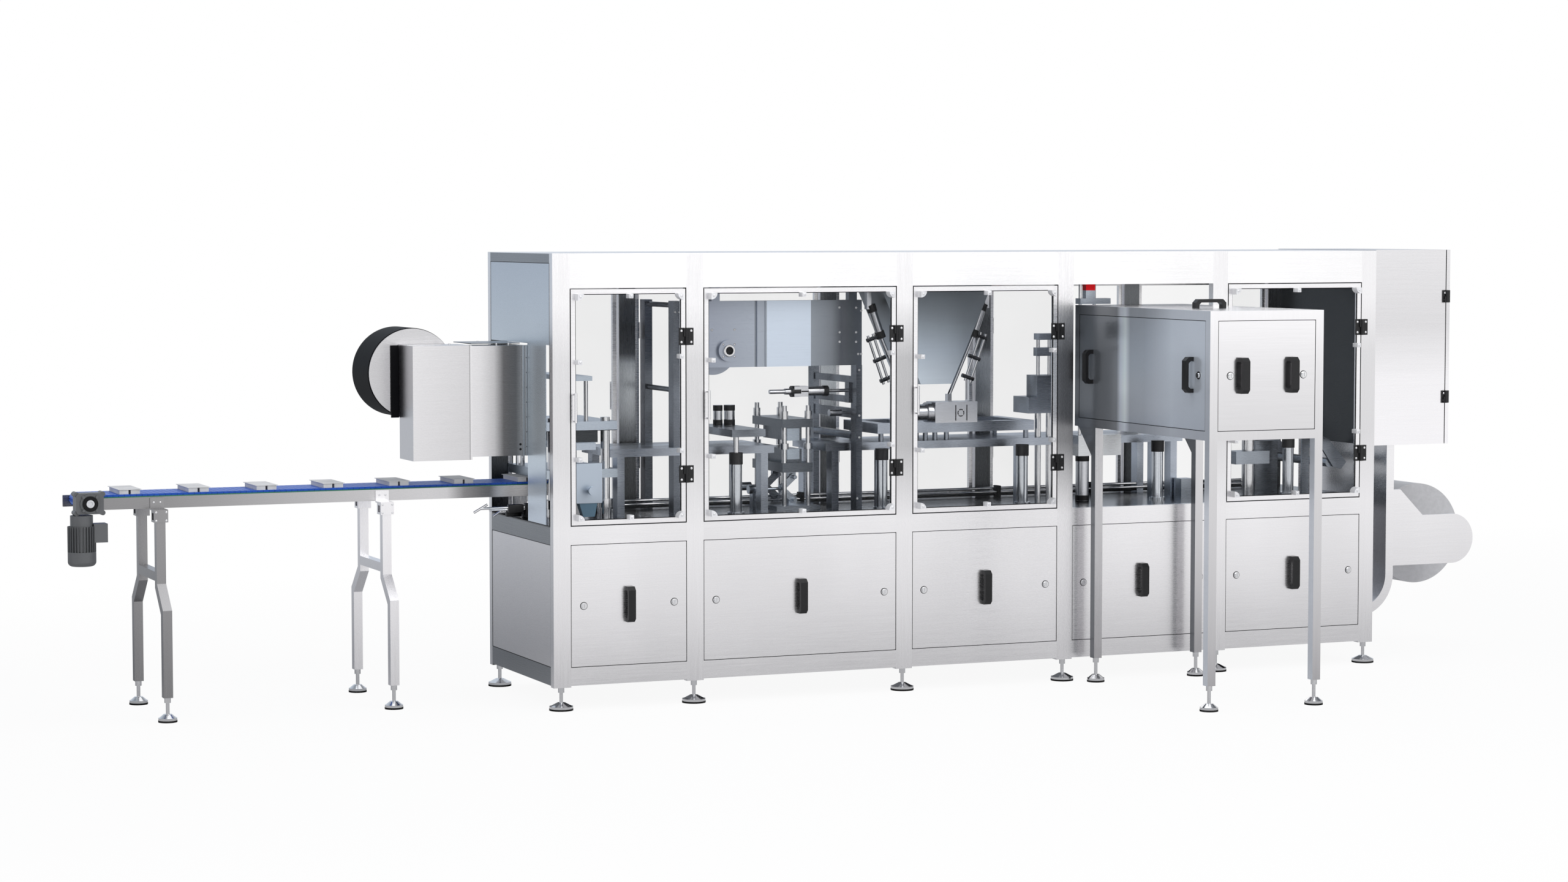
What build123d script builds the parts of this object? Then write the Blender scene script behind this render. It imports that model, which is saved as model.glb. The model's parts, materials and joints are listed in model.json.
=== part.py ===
"""Thermoforming line: steel machine frame with guard doors, outfeed conveyor,
top film unwinder, front cabinet on legs, end cover and bottom film roll.

Millimetres. X runs along the line, Y to the back, Z up from the floor.
Sizes are measured from the outer left face of the frame (X), the front face
of the frame (Y) and the floor (Z); the whole line is then centred.
"""

import os
from math import asin, cos, degrees, radians, sin, sqrt

from build123d import *

os.makedirs("parts", exist_ok=True)

# Steel frame
post_width = 80
post_depth = 40
post_clearance = 100
frame_depth = 895
frame_height = 2000
roof_sheet = 2
bay_openings = (545, 945, 745, 745, 745)
base_top = 807
rail_height = 80
rail_drop = 7
fascia_height = 150
panel_set_back = 1
panel_skin = 4
panel_pan = 16
panel_gap = 3
deck_sheet = 5
end_sheet = 4
upper_end_bottom = 1600
strip_start = 97

# Levelling feet
foot_radius = 52
foot_height = 34
foot_rubber = 8
foot_disc = 10
foot_stem_radius = 8
collar_radius = 14
collar_height = 22

# Guard doors
door_gap = 5
door_stile = 20
door_depth = 20
pane_thickness = 5
pane_set_back = 6
hinge_length = 76
hinge_reach = 34
hinge_pin_out = 9
hinge_sheet = 6
hinge_pin_radius = 3.5
hinge_barrel_radius = 8
hinge_clearance = 0.3
hinge_inset = 216
front_door_bays = (0, 1, 2, 4)
pull_length = 130
pull_radius = 6
pull_stand_off = 38

# Bridge handles and panel locks
bridge_length = 157
bridge_width = 34
bridge_stand_off = 40
bridge_bar = 15
bridge_foot = 18
bridge_shoulder = 16
bridge_corner = 10
lock_radius = 15
lock_height = 3
lock_core_radius = 11
lock_core_height = 8
lock_slot = 3
lock_from_edge = 60

# Outfeed conveyor
conveyor_centre = 642
conveyor_width = 250
conveyor_rail_height = 50
conveyor_rise = 148
conveyor_left = -1980
conveyor_right = 360
rail_sheet = 4
belt_rise = 13
belt_thickness = 9
belt_width = 226
drum_radius = 20
drum_shaft_radius = 12
rail_lip = 12
bracket_width = 60
bracket_sheet = 6
clamp_width = 60
clamp_depth = 60
sleeve = 30
leg_top = 850
stand_lines = (100, 300)
stand_length = 60
drive_from_left = 55
leg_lines = (-1624, -621)
leg_tube = 40
leg_upper_half = 181
leg_lower_half = 290
leg_foot_radius = 40
leg_knee_top = 575
leg_knee_bottom = 470
leg_end = 105

# Formed trays on the belt
tray_pitch = 300
tray_count = 7
tray_first = -1736
tray_length = 225
tray_width = 100
tray_depth = 21
tray_flange = 2
tray_groove = 10
tray_rim = 6

# Drive gearbox and motor
gearbox_length = 134
gearbox_height = 102
gearbox_depth = 70
gearbox_boss = 6
gearbox_boss_radius = 42
motor_radius = 60
motor_core = 50
motor_fins = 28
motor_cover = 62
motor_cover_round = 20
motor_offset = 30
motor_bottom = 671

# Top film unwinder at the outfeed end
unwinder_front = 300
unwinder_step = 40
unwinder_depth = 206
unwinder_split = 270
unwinder_length = 540
unwinder_bottom = 1091
unwinder_top = 1595
reel_x = -478
reel_z = 1468
reel_radius = 197
reel_disc = 10
lid_film_radius = 200
lid_film_width = 250
reel_gap = 12
reel_core_radius = 40
reel_shaft_radius = 15
reel_shaft_end = 20
running_gap = 0.05

# Front cabinet
cabinet_left = 2617
cabinet_width = 574
cabinet_front = -1140
cabinet_length = 1238
cabinet_bottom = 1185
cabinet_top_gap = 98
cabinet_post = 40
cabinet_rear_leg = 1035
cabinet_leg_bottom = 112
cabinet_sheet = 2
cabinet_handle_half = 125
cabinet_side_handle_half = 460
cabinet_top_handle_y = -640
cabinet_lock_half = 185
cabinet_side_lock = 100
gusset_reach = 160
gusset_sheet = 8

# End cover and bottom film roll
cover_length = 400
cover_bottom = 1056
cover_rise = 3
cover_door_thickness = 20
cover_sheet = 3
guard_left_gap = 102
guard_flange = 43
guard_sheet = 4
guard_set_back = 45
guard_radius = 200
guard_straight_bottom = 420
arm_set_back = 100
arm_plate = 20
arm_top = 829
arm_bottom = 455
arm_slope_start = 75
arm_end_radius = 122
roll_shaft_end = 20
cover_hinge_heights = (1286, 1776)
cover_hinge_length = 60
cover_hinge_reach = 20
roll_x = 4729
roll_z = 577
roll_radius = 250
roll_front = 416
roll_width = 452
roll_core_radius = 76
roll_shaft_radius = 38

# Web table inside the frame: heights are above the deck
table_parts = ((415, 1215), (1475, 3370))
table_front = 400
table_back = 790
table_height = 305
table_sheet = 36
table_leg_width = 35
table_leg_inset = 48
table_leg_depth = 60
table_leg_offset = 40
upper_table = (1740, 2560)
upper_table_height = 343
upper_table_sheet = 47
upper_table_rail = 60
drive_plate = (1940, 2262)
spacer_radius = 12

# Guide columns in front of the table
column_first = 980
column_pitch = 730
column_count = 5
column_y = 290
column_radius = 27
column_foot_height = 12
column_cap_radius = 31
column_height = 230
column_cap_height = 53

# Punching press over the end of the conveyor
punch_x = 251
punch_half_pitch = (126, 222)
punch_front = 371
punch_edge = 31
punch_plate_half = 173
punch_head = (396, 42)
punch_neck = (310, 32)
punch_bed = (184, 39)
punch_block_half = 87
punch_neck_half = 70
punch_column_radius = 21
punch_column_height = 455
punch_bush_radius = 35
punch_bush_height = 88
punch_rod_radius = 10
punch_rod_half = 42
punch_top_height = 619
punch_top_sheet = 21
punch_top_half = 62

# Forming press on four columns, with its lifting links
form_x = 1359
form_y = 642
form_half_pitch = (60, 165)
form_column_radius = 11.5
form_column_height = 480
form_collar_radius = 17
form_collar_height = 37
form_plate_half = (76, 182)
form_head = (379, 39)
form_bed = (171, 43)
form_block_half = 36
form_block_height = 63
form_foot_half = (110, 195)
form_foot_sheet = 15
link_width = 30
link_sheet = 14
link_reach = 60
link_pin_radius = 9
lift_body_radius = 20
lift_rod_radius = 7

# Stamping unit at the end of the upper table
stamp_x = 2630
stamp_half_pitch = 30
stamp_y = 440

# Upright frames that carry the web rollers
web_back = 793
web_upright_depth = 62
web_first = (729, 37, 427, 971)
web_second = (1585, 29, 300, 671)
web_bar_radius = 12
web_roller_radius = 18

# Hopper over the upper table
hopper_x = 2090
hopper_front = 500
hopper_depth = 280
hopper_height = 565
hopper_bottom_half = 80
hopper_slope = 0.4545
hopper_shoulder_gap = 8
hopper_sheet = 4

# Inner film unwinder
inner_left = 827
inner_steps = ((243, 262), (38, 254), (226, 250), (259, 258))
inner_height = 673
inner_tall = 300
case_back = 300
inner_hub_x = 927
inner_hub_height = 749
inner_hub_radius = 49
inner_disc_radius = 118
inner_disc_y = 440

# Last bay: clamp, guard plate and the arms that lead the film in
clamp_x = 3678
clamp_y = 300
clamp_radius = 30
arm_lines = (300, 800)
arm_sheet = 12
lead_roller_x = 4150
lead_roller_height = 148
lead_roller_radius = 22

# Positions that follow from the sizes above
post_left = [0]
for opening in bay_openings:
    post_left.append(post_left[-1] + post_width + opening)
frame_length = post_left[-1] + post_width
line_left = -2020
line_right = roll_x + roll_radius
line_front = cabinet_front - bridge_stand_off
line_back = frame_depth + pull_stand_off
shift_x = -(line_left + line_right) / 2
shift_y = -(line_front + line_back) / 2
rail_bottom = post_clearance + rail_drop
panel_bottom = rail_bottom + rail_height
panel_top = base_top - rail_height
opening_top = frame_height - roof_sheet - fascia_height
roof_z = frame_height - roof_sheet
cover_right = frame_length + cover_length
cover_top = frame_height + cover_rise
cabinet_top = opening_top - cabinet_top_gap
conveyor_rail_top = base_top + conveyor_rise
belt_top = conveyor_rail_top + belt_rise
front_bays = [
    (post_left[i] + post_width, post_left[i + 1])
    for i in range(len(bay_openings))
]


def slab(x0, x1, y0, y1, z0, z1, mode=Mode.ADD):
    """One block between two opposite corners."""
    centre = ((x0 + x1) / 2 + shift_x, (y0 + y1) / 2 + shift_y, (z0 + z1) / 2)
    with Locations(centre):
        Box(x1 - x0, y1 - y0, z1 - z0, mode=mode)


def bar(x, y, z, radius, length, along="Z", mode=Mode.ADD):
    """One round bar centred on a point."""
    turn = {"X": (0, 90, 0), "Y": (90, 0, 0), "Z": (0, 0, 0)}[along]
    with Locations((x + shift_x, y + shift_y, z)):
        Cylinder(radius, length, rotation=turn, mode=mode)


def front_plane(y):
    """Plane at depth y that looks to the front: local axes are X and Z."""
    return Plane(origin=(shift_x, y + shift_y, 0), x_dir=(1, 0, 0), z_dir=(0, -1, 0))


def end_plane(x):
    """Plane at length x that looks along the line: local axes are Y and Z."""
    return Plane(origin=(x + shift_x, shift_y, 0), x_dir=(0, 1, 0), z_dir=(1, 0, 0))


def floor_plane(z):
    """Level plane at height z: local axes are X and Y."""
    return Plane(origin=(shift_x, shift_y, z), x_dir=(1, 0, 0), z_dir=(0, 0, 1))


def facing(x, y, z, side):
    """Plane at a point of a vertical face; side names the way the face looks."""
    across, outward = {
        "front": ((1, 0, 0), (0, -1, 0)),
        "back": ((-1, 0, 0), (0, 1, 0)),
        "left": ((0, -1, 0), (-1, 0, 0)),
        "right": ((0, 1, 0), (1, 0, 0)),
        "top": ((0, 1, 0), (0, 0, 1)),
    }[side]
    return Plane(origin=(x + shift_x, y + shift_y, z), x_dir=across, z_dir=outward)


def save(piece, node):
    """Label one finished piece and write its file."""
    piece.part.label = node
    export_step(piece.part, "parts/" + node + ".step")


# Corner and bay posts
with BuildPart() as front_posts:
    for left in post_left:
        slab(left, left + post_width, 0, post_depth, post_clearance, roof_z)
save(front_posts, "front_posts")

with BuildPart() as back_posts:
    for left in post_left:
        slab(left, left + post_width, frame_depth - post_depth, frame_depth, post_clearance, roof_z)
save(back_posts, "back_posts")

# Rails between the posts, above and below each lower panel
with BuildPart() as bay_rails:
    for start, end in front_bays:
        for y0 in (0, frame_depth - post_depth):
            slab(start, end, y0, y0 + post_depth, rail_bottom, panel_bottom)
            slab(start, end, y0, y0 + post_depth, panel_top, base_top)
save(bay_rails, "bay_rails")

# Cross rails between the front and the back posts
with BuildPart() as cross_rails:
    for left in post_left:
        slab(left, left + post_width, post_depth, frame_depth - post_depth, rail_bottom, panel_bottom)
        slab(left, left + post_width, post_depth, frame_depth - post_depth, panel_top, base_top - deck_sheet)
        slab(left, left + post_width, post_depth, frame_depth - post_depth, roof_z - post_depth, roof_z)
save(cross_rails, "cross_rails")

# Fascia over the doors, front and back
with BuildPart() as fascia:
    for start, end in front_bays:
        for y0 in (0, frame_depth - post_depth):
            slab(start, end, y0, y0 + post_depth, opening_top, roof_z)
save(fascia, "fascia")

with BuildPart() as roof:
    slab(0, frame_length, 0, frame_depth, roof_z, frame_height)
save(roof, "roof")

with BuildPart() as deck:
    slab(0, frame_length, post_depth, frame_depth - post_depth, base_top - deck_sheet, base_top)
save(deck, "deck")

def cover_panel(plane, width, height):
    """Lift-off panel in an opening: a pan that fills it and a smaller front skin."""
    with BuildSketch(plane.offset(-panel_set_back - panel_skin)) as pan:
        Rectangle(width, height)
    extrude(pan.sketch, amount=-panel_pan)
    with BuildSketch(plane.offset(-panel_set_back - panel_skin)) as skin:
        RectangleRounded(width - 2 * panel_gap, height - 2 * panel_gap, panel_gap)
    extrude(skin.sketch, amount=panel_skin)


# Lift-off panels of the base, each in its own bay
with BuildPart() as lower_panels:
    for start, end in front_bays:
        for y, side in ((0, "front"), (frame_depth, "back")):
            middle = facing((start + end) / 2, y, (panel_bottom + panel_top) / 2, side)
            cover_panel(middle, end - start, panel_top - panel_bottom)
save(lower_panels, "lower_panels")


def bridge_handle(plane):
    """Bridge handle on a plane: feet, sloping shoulders for the screws and a flat grip."""
    half = bridge_length / 2
    shoulder = half - bridge_shoulder
    inner = half - bridge_foot
    under = bridge_stand_off - bridge_bar
    side = Plane(origin=plane.origin, x_dir=plane.y_dir, z_dir=plane.x_dir)
    with BuildSketch(side) as profile:
        with BuildLine():
            Polyline(
                (-half, 0),
                (-half, bridge_stand_off - bridge_shoulder),
                (-shoulder, bridge_stand_off),
                (shoulder, bridge_stand_off),
                (half, bridge_stand_off - bridge_shoulder),
                (half, 0),
                (inner, 0),
                (inner, under - bridge_corner),
                (inner - bridge_corner, under),
                (bridge_corner - inner, under),
                (-inner, under - bridge_corner),
                (-inner, 0),
                close=True,
            )
        make_face()
    extrude(profile.sketch, amount=bridge_width / 2, both=True)


# Cabinet sizes that follow
cabinet_right = cabinet_left + cabinet_width
cabinet_back = cabinet_front + cabinet_length
cabinet_panel_z = (cabinet_bottom + cabinet_top) / 2

with BuildPart() as panel_handles:
    handle_z = (panel_bottom + panel_top) / 2
    for start, end in front_bays:
        middle = (start + end) / 2
        bridge_handle(facing(middle, panel_set_back, handle_z, "front"))
        bridge_handle(facing(middle, frame_depth - panel_set_back, handle_z, "back"))
    middle_x = (cabinet_left + cabinet_right) / 2
    middle_y = (cabinet_front + cabinet_back) / 2
    for side in (-1, 1):
        x = middle_x + side * cabinet_handle_half
        bridge_handle(facing(x, cabinet_front + panel_set_back, cabinet_panel_z, "front"))
        y = middle_y + side * cabinet_side_handle_half
        bridge_handle(facing(cabinet_left + panel_set_back, y, cabinet_panel_z, "left"))
        bridge_handle(facing(cabinet_right - panel_set_back, y, cabinet_panel_z, "right"))
    bridge_handle(facing(middle_x, cabinet_top_handle_y, cabinet_top, "top"))
save(panel_handles, "panel_handles")


def quarter_lock(plane):
    """Round quarter-turn lock on a plane: collar and a core with a key slot."""
    with BuildSketch(plane) as disc:
        Circle(lock_radius)
    extrude(disc.sketch, amount=lock_height)
    with BuildSketch(plane.offset(lock_height)) as core:
        Circle(lock_core_radius)
        Rectangle(lock_slot, 2 * lock_core_radius - 6, mode=Mode.SUBTRACT)
    extrude(core.sketch, amount=lock_core_height - lock_height)


with BuildPart() as panel_locks:
    for start, end in front_bays:
        for x in (start + lock_from_edge, end - lock_from_edge):
            quarter_lock(facing(x, panel_set_back, handle_z, "front"))
            quarter_lock(facing(x, frame_depth - panel_set_back, handle_z, "back"))
    for side in (-1, 1):
        x = middle_x + side * cabinet_lock_half
        quarter_lock(facing(x, cabinet_front + panel_set_back, cabinet_panel_z, "front"))
    for x, side in ((cabinet_left + panel_set_back, "left"), (cabinet_right - panel_set_back, "right")):
        quarter_lock(facing(x, cabinet_front + cabinet_side_lock, cabinet_panel_z, side))
save(panel_locks, "panel_locks")


# End panels of the frame
with BuildPart() as end_panels:
    inner_back = frame_depth - post_depth
    for x, side in ((0, "left"), (frame_length, "right")):
        middle = facing(x, frame_depth / 2, (panel_bottom + panel_top) / 2, side)
        cover_panel(middle, inner_back - post_depth, panel_top - panel_bottom)
    slab(0, end_sheet, post_depth, inner_back, upper_end_bottom, roof_z - post_depth)
    slab(0, end_sheet, strip_start, unwinder_front + unwinder_step, base_top, upper_end_bottom)
    slab(frame_length - end_sheet, frame_length, post_depth, inner_back, cover_bottom, roof_z - post_depth)
save(end_panels, "end_panels")


def levelling_foot(x, y, radius, top):
    """Levelling foot under a post: stem with collar on a domed disc."""
    slope = foot_height - foot_rubber
    bar(x, y, foot_rubber + foot_disc / 2, radius, foot_disc)
    with BuildSketch(floor_plane(foot_rubber + foot_disc)) as base:
        with Locations((x, y)):
            Circle(radius - 3)
    with BuildSketch(floor_plane(foot_height)) as neck:
        with Locations((x, y)):
            Circle(collar_radius + 4)
    loft([base.sketch.face(), neck.sketch.face()])
    bar(x, y, (foot_height + top) / 2, foot_stem_radius, top - foot_height)
    bar(x, y, top - collar_height / 2, collar_radius, collar_height)


def rubber_pad(x, y, radius):
    """Rubber pad under a levelling foot."""
    bar(x, y, foot_rubber / 2, radius + 1, foot_rubber)


frame_feet = [
    (left + post_width / 2, y)
    for left in post_left
    for y in (post_depth / 2, frame_depth - post_depth / 2)
]
cabinet_feet = [
    (x, y)
    for x in (cabinet_left + cabinet_post / 2, cabinet_right - cabinet_post / 2)
    for y in (cabinet_front + cabinet_post / 2, cabinet_front + cabinet_rear_leg + cabinet_post / 2)
]
conveyor_feet = [
    (x, conveyor_centre + side * leg_lower_half)
    for x in leg_lines
    for side in (-1, 1)
]

with BuildPart() as levelling_feet:
    for x, y in frame_feet:
        levelling_foot(x, y, foot_radius, post_clearance)
    for x, y in cabinet_feet:
        levelling_foot(x, y, leg_foot_radius, cabinet_leg_bottom)
    for x, y in conveyor_feet:
        levelling_foot(x, y, leg_foot_radius, leg_end)
save(levelling_feet, "levelling_feet")

with BuildPart() as foot_pads:
    for x, y in frame_feet:
        rubber_pad(x, y, foot_radius)
    for x, y in cabinet_feet + conveyor_feet:
        rubber_pad(x, y, leg_foot_radius)
save(foot_pads, "foot_pads")


# Guard doors: each turns on a pin in front of its right edge
hinge_heights = (base_top + hinge_inset, opening_top - hinge_inset)


def door_frame(start, end, face, inward):
    """Tube frame of one guard door with its pull handle."""
    bottom = base_top + door_gap
    top = opening_top - door_gap
    left = start + door_gap
    right = end - door_gap
    y0 = min(face, face + inward * door_depth)
    y1 = max(face, face + inward * door_depth)
    slab(left, left + door_stile, y0, y1, bottom, top)
    slab(right - door_stile, right, y0, y1, bottom, top)
    slab(left + door_stile, right - door_stile, y0, y1, bottom, bottom + door_stile)
    slab(left + door_stile, right - door_stile, y0, y1, top - door_stile, top)


def pull_handle(x, face, inward):
    """D-shaped pull handle on a door stile."""
    z = (base_top + opening_top) / 2
    reach = pull_stand_off - pull_radius
    y = face - inward * reach
    bar(x, y, z, pull_radius, pull_length)
    for end in (-1, 1):
        bar(
            x,
            face - inward * reach / 2,
            z + end * (pull_length / 2 - pull_radius),
            pull_radius - 1,
            reach,
            "Y",
        )


def pane(start, end, face, inward):
    """Clear pane inside the tube frame."""
    inset = door_gap + door_stile
    y0 = face + inward * pane_set_back
    y1 = y0 + inward * pane_thickness
    slab(start + inset, end - inset, min(y0, y1), max(y0, y1), base_top + inset, opening_top - inset)


def hinge_leaf_plate(pin_x, side, face, inward, z):
    """Flat leaf of one hinge; side is -1 to the left of the pin, 1 to the right."""
    near = pin_x + side * (hinge_barrel_radius + hinge_clearance)
    far = pin_x + side * hinge_reach
    outer = face - inward * hinge_sheet
    slab(min(near, far), max(near, far), min(face, outer), max(face, outer), z - hinge_length / 2, z + hinge_length / 2)


def hinge_knuckle(pin_x, side, face, inward, z0, z1):
    """Barrel of one hinge leaf between two heights, with its web to the leaf."""
    pin_y = face - inward * hinge_pin_out
    bar(pin_x, pin_y, (z0 + z1) / 2, hinge_barrel_radius, z1 - z0)
    web = pin_x + side * (hinge_barrel_radius + hinge_sheet)
    y0 = pin_y - hinge_sheet / 2
    slab(min(pin_x, web), max(pin_x, web), y0, y0 + hinge_sheet, z0, z1)


def door_hinges(pin_x, side, face, inward):
    """Moving halves of the hinges of one door: the upper knuckles."""
    for z in hinge_heights:
        hinge_leaf_plate(pin_x, side, face, inward, z)
        hinge_knuckle(pin_x, side, face, inward, z + hinge_clearance, z + hinge_length / 2)


def post_hinges(pin_x, side, face, inward):
    """Fixed halves of the hinges of one door: the lower knuckles."""
    for z in hinge_heights:
        hinge_leaf_plate(pin_x, side, face, inward, z)
        hinge_knuckle(pin_x, side, face, inward, z - hinge_length / 2, z)


def cover_knuckle(side, z, z0, z1):
    """Half of one hinge of the end cover's door; side 1 is on the door."""
    pin_x = cover_right + door_gap / 2
    near = pin_x + side * (hinge_barrel_radius + hinge_clearance)
    far = pin_x + side * cover_hinge_reach
    half = cover_hinge_length / 2
    slab(min(near, far), max(near, far), -hinge_sheet, 0, z - half, z + half)
    hinge_knuckle(pin_x, side, 0, 1, z0, z1)


for number, bay in enumerate(front_door_bays):
    start, end = front_bays[bay]
    with BuildPart() as frame:
        door_frame(start, end, 0, 1)
        pull_handle(start + door_gap + door_stile / 2, 0, 1)
    save(frame, "door_%d_frame" % (bay + 1))
    with BuildPart() as clear:
        pane(start, end, 0, 1)
    save(clear, "door_%d_pane" % (bay + 1))
    with BuildPart() as leaves:
        door_hinges(end - door_gap / 2, -1, 0, 1)
    save(leaves, "door_%d_hinges" % (bay + 1))

with BuildPart() as frame_hinges:
    for bay in front_door_bays:
        post_hinges(front_bays[bay][1] - door_gap / 2, 1, 0, 1)
    for start, end in front_bays:
        post_hinges(start + door_gap / 2, -1, frame_depth, -1)
        door_hinges(start + door_gap / 2, 1, frame_depth, -1)
    for z in cover_hinge_heights:
        cover_knuckle(-1, z, z - cover_hinge_length / 2, z)
save(frame_hinges, "frame_hinges")

# Guards of the back, closed
with BuildPart() as back_guards:
    for start, end in front_bays:
        door_frame(start, end, frame_depth, -1)
        pull_handle(end - door_gap - door_stile / 2, frame_depth, -1)
save(back_guards, "back_guards")

with BuildPart() as back_panes:
    for start, end in front_bays:
        pane(start, end, frame_depth, -1)
save(back_panes, "back_panes")

# Outfeed conveyor
half_width = conveyor_width / 2
rail_bottom_z = conveyor_rail_top - conveyor_rail_height
with BuildPart() as conveyor_rails:
    for side in (-1, 1):
        with BuildSketch(end_plane(conveyor_left)) as channel:
            with BuildLine():
                outer = conveyor_centre + side * half_width
                inner = outer - side * rail_lip
                skin = outer - side * rail_sheet
                Polyline(
                    (inner, conveyor_rail_top),
                    (outer, conveyor_rail_top),
                    (outer, rail_bottom_z),
                    (inner, rail_bottom_z),
                    (inner, rail_bottom_z + rail_sheet),
                    (skin, rail_bottom_z + rail_sheet),
                    (skin, conveyor_rail_top - rail_sheet),
                    (inner, conveyor_rail_top - rail_sheet),
                    close=True,
                )
            make_face()
        extrude(channel.sketch, amount=conveyor_right - conveyor_left)
save(conveyor_rails, "conveyor_rails")

drum_x = conveyor_left + drive_from_left
drum_z = belt_top - belt_thickness - drum_radius
tail_x = conveyor_right - drive_from_left
with BuildPart() as conveyor_drums:
    for x in (drum_x, tail_x):
        bar(x, conveyor_centre, drum_z, drum_radius, belt_width, "Y")
        bar(x, conveyor_centre, drum_z, drum_shaft_radius, conveyor_width - 2 * rail_sheet, "Y")
save(conveyor_drums, "conveyor_drums")

with BuildPart() as conveyor_belt:
    with BuildSketch(front_plane(conveyor_centre + belt_width / 2)) as loop:
        with Locations(((drum_x + tail_x) / 2, drum_z)):
            SlotCenterToCenter(tail_x - drum_x, 2 * (drum_radius + belt_thickness))
            SlotCenterToCenter(tail_x - drum_x, 2 * drum_radius, mode=Mode.SUBTRACT)
    extrude(loop.sketch, amount=belt_width)
save(conveyor_belt, "conveyor_belt")

with BuildPart() as wear_strips:
    for side in (-1, 1):
        outer = conveyor_centre + side * half_width
        inner = outer - side * rail_lip
        slab(
            drum_x,
            tail_x,
            min(outer, inner),
            max(outer, inner),
            conveyor_rail_top,
            belt_top - belt_thickness,
        )
save(wear_strips, "wear_strips")

# Conveyor legs: two tubes that spread out below a cross tube
with BuildPart() as conveyor_legs:
    for x in leg_lines:
        for side in (-1, 1):
            upper = conveyor_centre + side * leg_upper_half
            lower = conveyor_centre + side * leg_lower_half
            half = leg_tube / 2
            with BuildSketch(end_plane(x - half)) as leg:
                with BuildLine():
                    Polyline(
                        (upper - half, leg_top),
                        (upper + half, leg_top),
                        (upper + half, leg_knee_top + side * half / 2),
                        (lower + half, leg_knee_bottom + side * half / 2),
                        (lower + half, leg_end),
                        (lower - half, leg_end),
                        (lower - half, leg_knee_bottom - side * half / 2),
                        (upper - half, leg_knee_top - side * half / 2),
                        close=True,
                    )
                make_face()
            extrude(leg.sketch, amount=leg_tube)
        inner = leg_upper_half - leg_tube / 2
        slab(
            x - leg_tube / 2,
            x + leg_tube / 2,
            conveyor_centre - inner,
            conveyor_centre + inner,
            leg_knee_top + leg_tube / 2,
            leg_knee_top + 3 * leg_tube / 2,
        )
    for x in stand_lines:
        for side in (-1, 1):
            outer = conveyor_centre + side * half_width
            inner = outer - side * stand_length / 2
            slab(
                x - stand_length / 2,
                x + stand_length / 2,
                min(outer, inner),
                max(outer, inner),
                base_top,
                rail_bottom_z,
            )
save(conveyor_legs, "conveyor_legs")

with BuildPart() as leg_brackets:
    for x in leg_lines:
        for side in (-1, 1):
            face = conveyor_centre + side * half_width
            near = conveyor_centre + side * (leg_upper_half - clamp_depth / 2)
            far = conveyor_centre + side * (leg_upper_half + clamp_depth / 2)
            slab(
                x - bracket_width / 2,
                x + bracket_width / 2,
                min(face, face + side * bracket_sheet),
                max(face, face + side * bracket_sheet),
                rail_bottom_z,
                conveyor_rail_top - rail_sheet,
            )
            slab(
                x - bracket_width / 2,
                x + bracket_width / 2,
                min(face, far),
                max(face, far),
                rail_bottom_z - bracket_sheet,
                rail_bottom_z,
            )
            slab(
                x - clamp_width / 2,
                x + clamp_width / 2,
                min(near, far),
                max(near, far),
                leg_top,
                rail_bottom_z - bracket_sheet,
            )
            sleeve_z = (leg_top + rail_bottom_z - bracket_sheet) / 2
            middle_y = (near + far) / 2
            slab(
                x - clamp_width / 2,
                x + clamp_width / 2,
                middle_y - sleeve / 2,
                middle_y + sleeve / 2,
                sleeve_z - sleeve / 2,
                sleeve_z + sleeve / 2,
                Mode.SUBTRACT,
            )
save(leg_brackets, "leg_brackets")

# Formed trays resting on the belt
with BuildPart() as trays:
    for index in range(tray_count):
        x = tray_first + index * tray_pitch
        half_x = tray_width / 2
        half_y = tray_length / 2
        slab(
            x - half_x,
            x + half_x,
            conveyor_centre - half_y,
            conveyor_centre + half_y,
            belt_top + tray_depth - tray_flange,
            belt_top + tray_depth,
        )
        for side in (-1, 1):
            near = x + side * tray_groove / 2
            far = x + side * (half_x - tray_rim)
            slab(
                min(near, far),
                max(near, far),
                conveyor_centre - half_y + tray_rim,
                conveyor_centre + half_y - tray_rim,
                belt_top,
                belt_top + tray_depth - tray_flange,
            )
save(trays, "trays")

# Drive gearbox with its motor hanging below
gearbox_front = conveyor_centre - half_width - gearbox_depth
gearbox_y = gearbox_front + gearbox_depth / 2
half_length = gearbox_length / 2
half_height = gearbox_height / 2
with BuildPart() as gearbox:
    with BuildSketch(front_plane(gearbox_front)) as housing:
        with Locations((drum_x, drum_z)):
            RectangleRounded(gearbox_length - 16, gearbox_height - 12, 16)
    extrude(housing.sketch, amount=-gearbox_depth)
    for x in (drum_x - half_length + 11, drum_x + half_length - 11):
        for z in (drum_z - half_height + 11, drum_z + half_height - 11):
            bar(x, gearbox_y, z, 11, gearbox_depth - 12, "Y")
    bar(drum_x, gearbox_front - gearbox_boss / 2, drum_z, gearbox_boss_radius, gearbox_boss, "Y")
    for turn in range(4):
        angle = radians(45 + 90 * turn)
        x = drum_x + (gearbox_boss_radius - 2) * cos(angle)
        z = drum_z + (gearbox_boss_radius - 2) * sin(angle)
        bar(x, gearbox_front - gearbox_boss, z, 6, 2 * gearbox_boss, "Y")
    bar(drum_x, gearbox_front - gearbox_boss, drum_z, 25, gearbox_boss, "Y", Mode.SUBTRACT)
    bar(drum_x, gearbox_front - gearbox_boss / 2, drum_z, 17, gearbox_boss, "Y")
save(gearbox, "gearbox")

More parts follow.
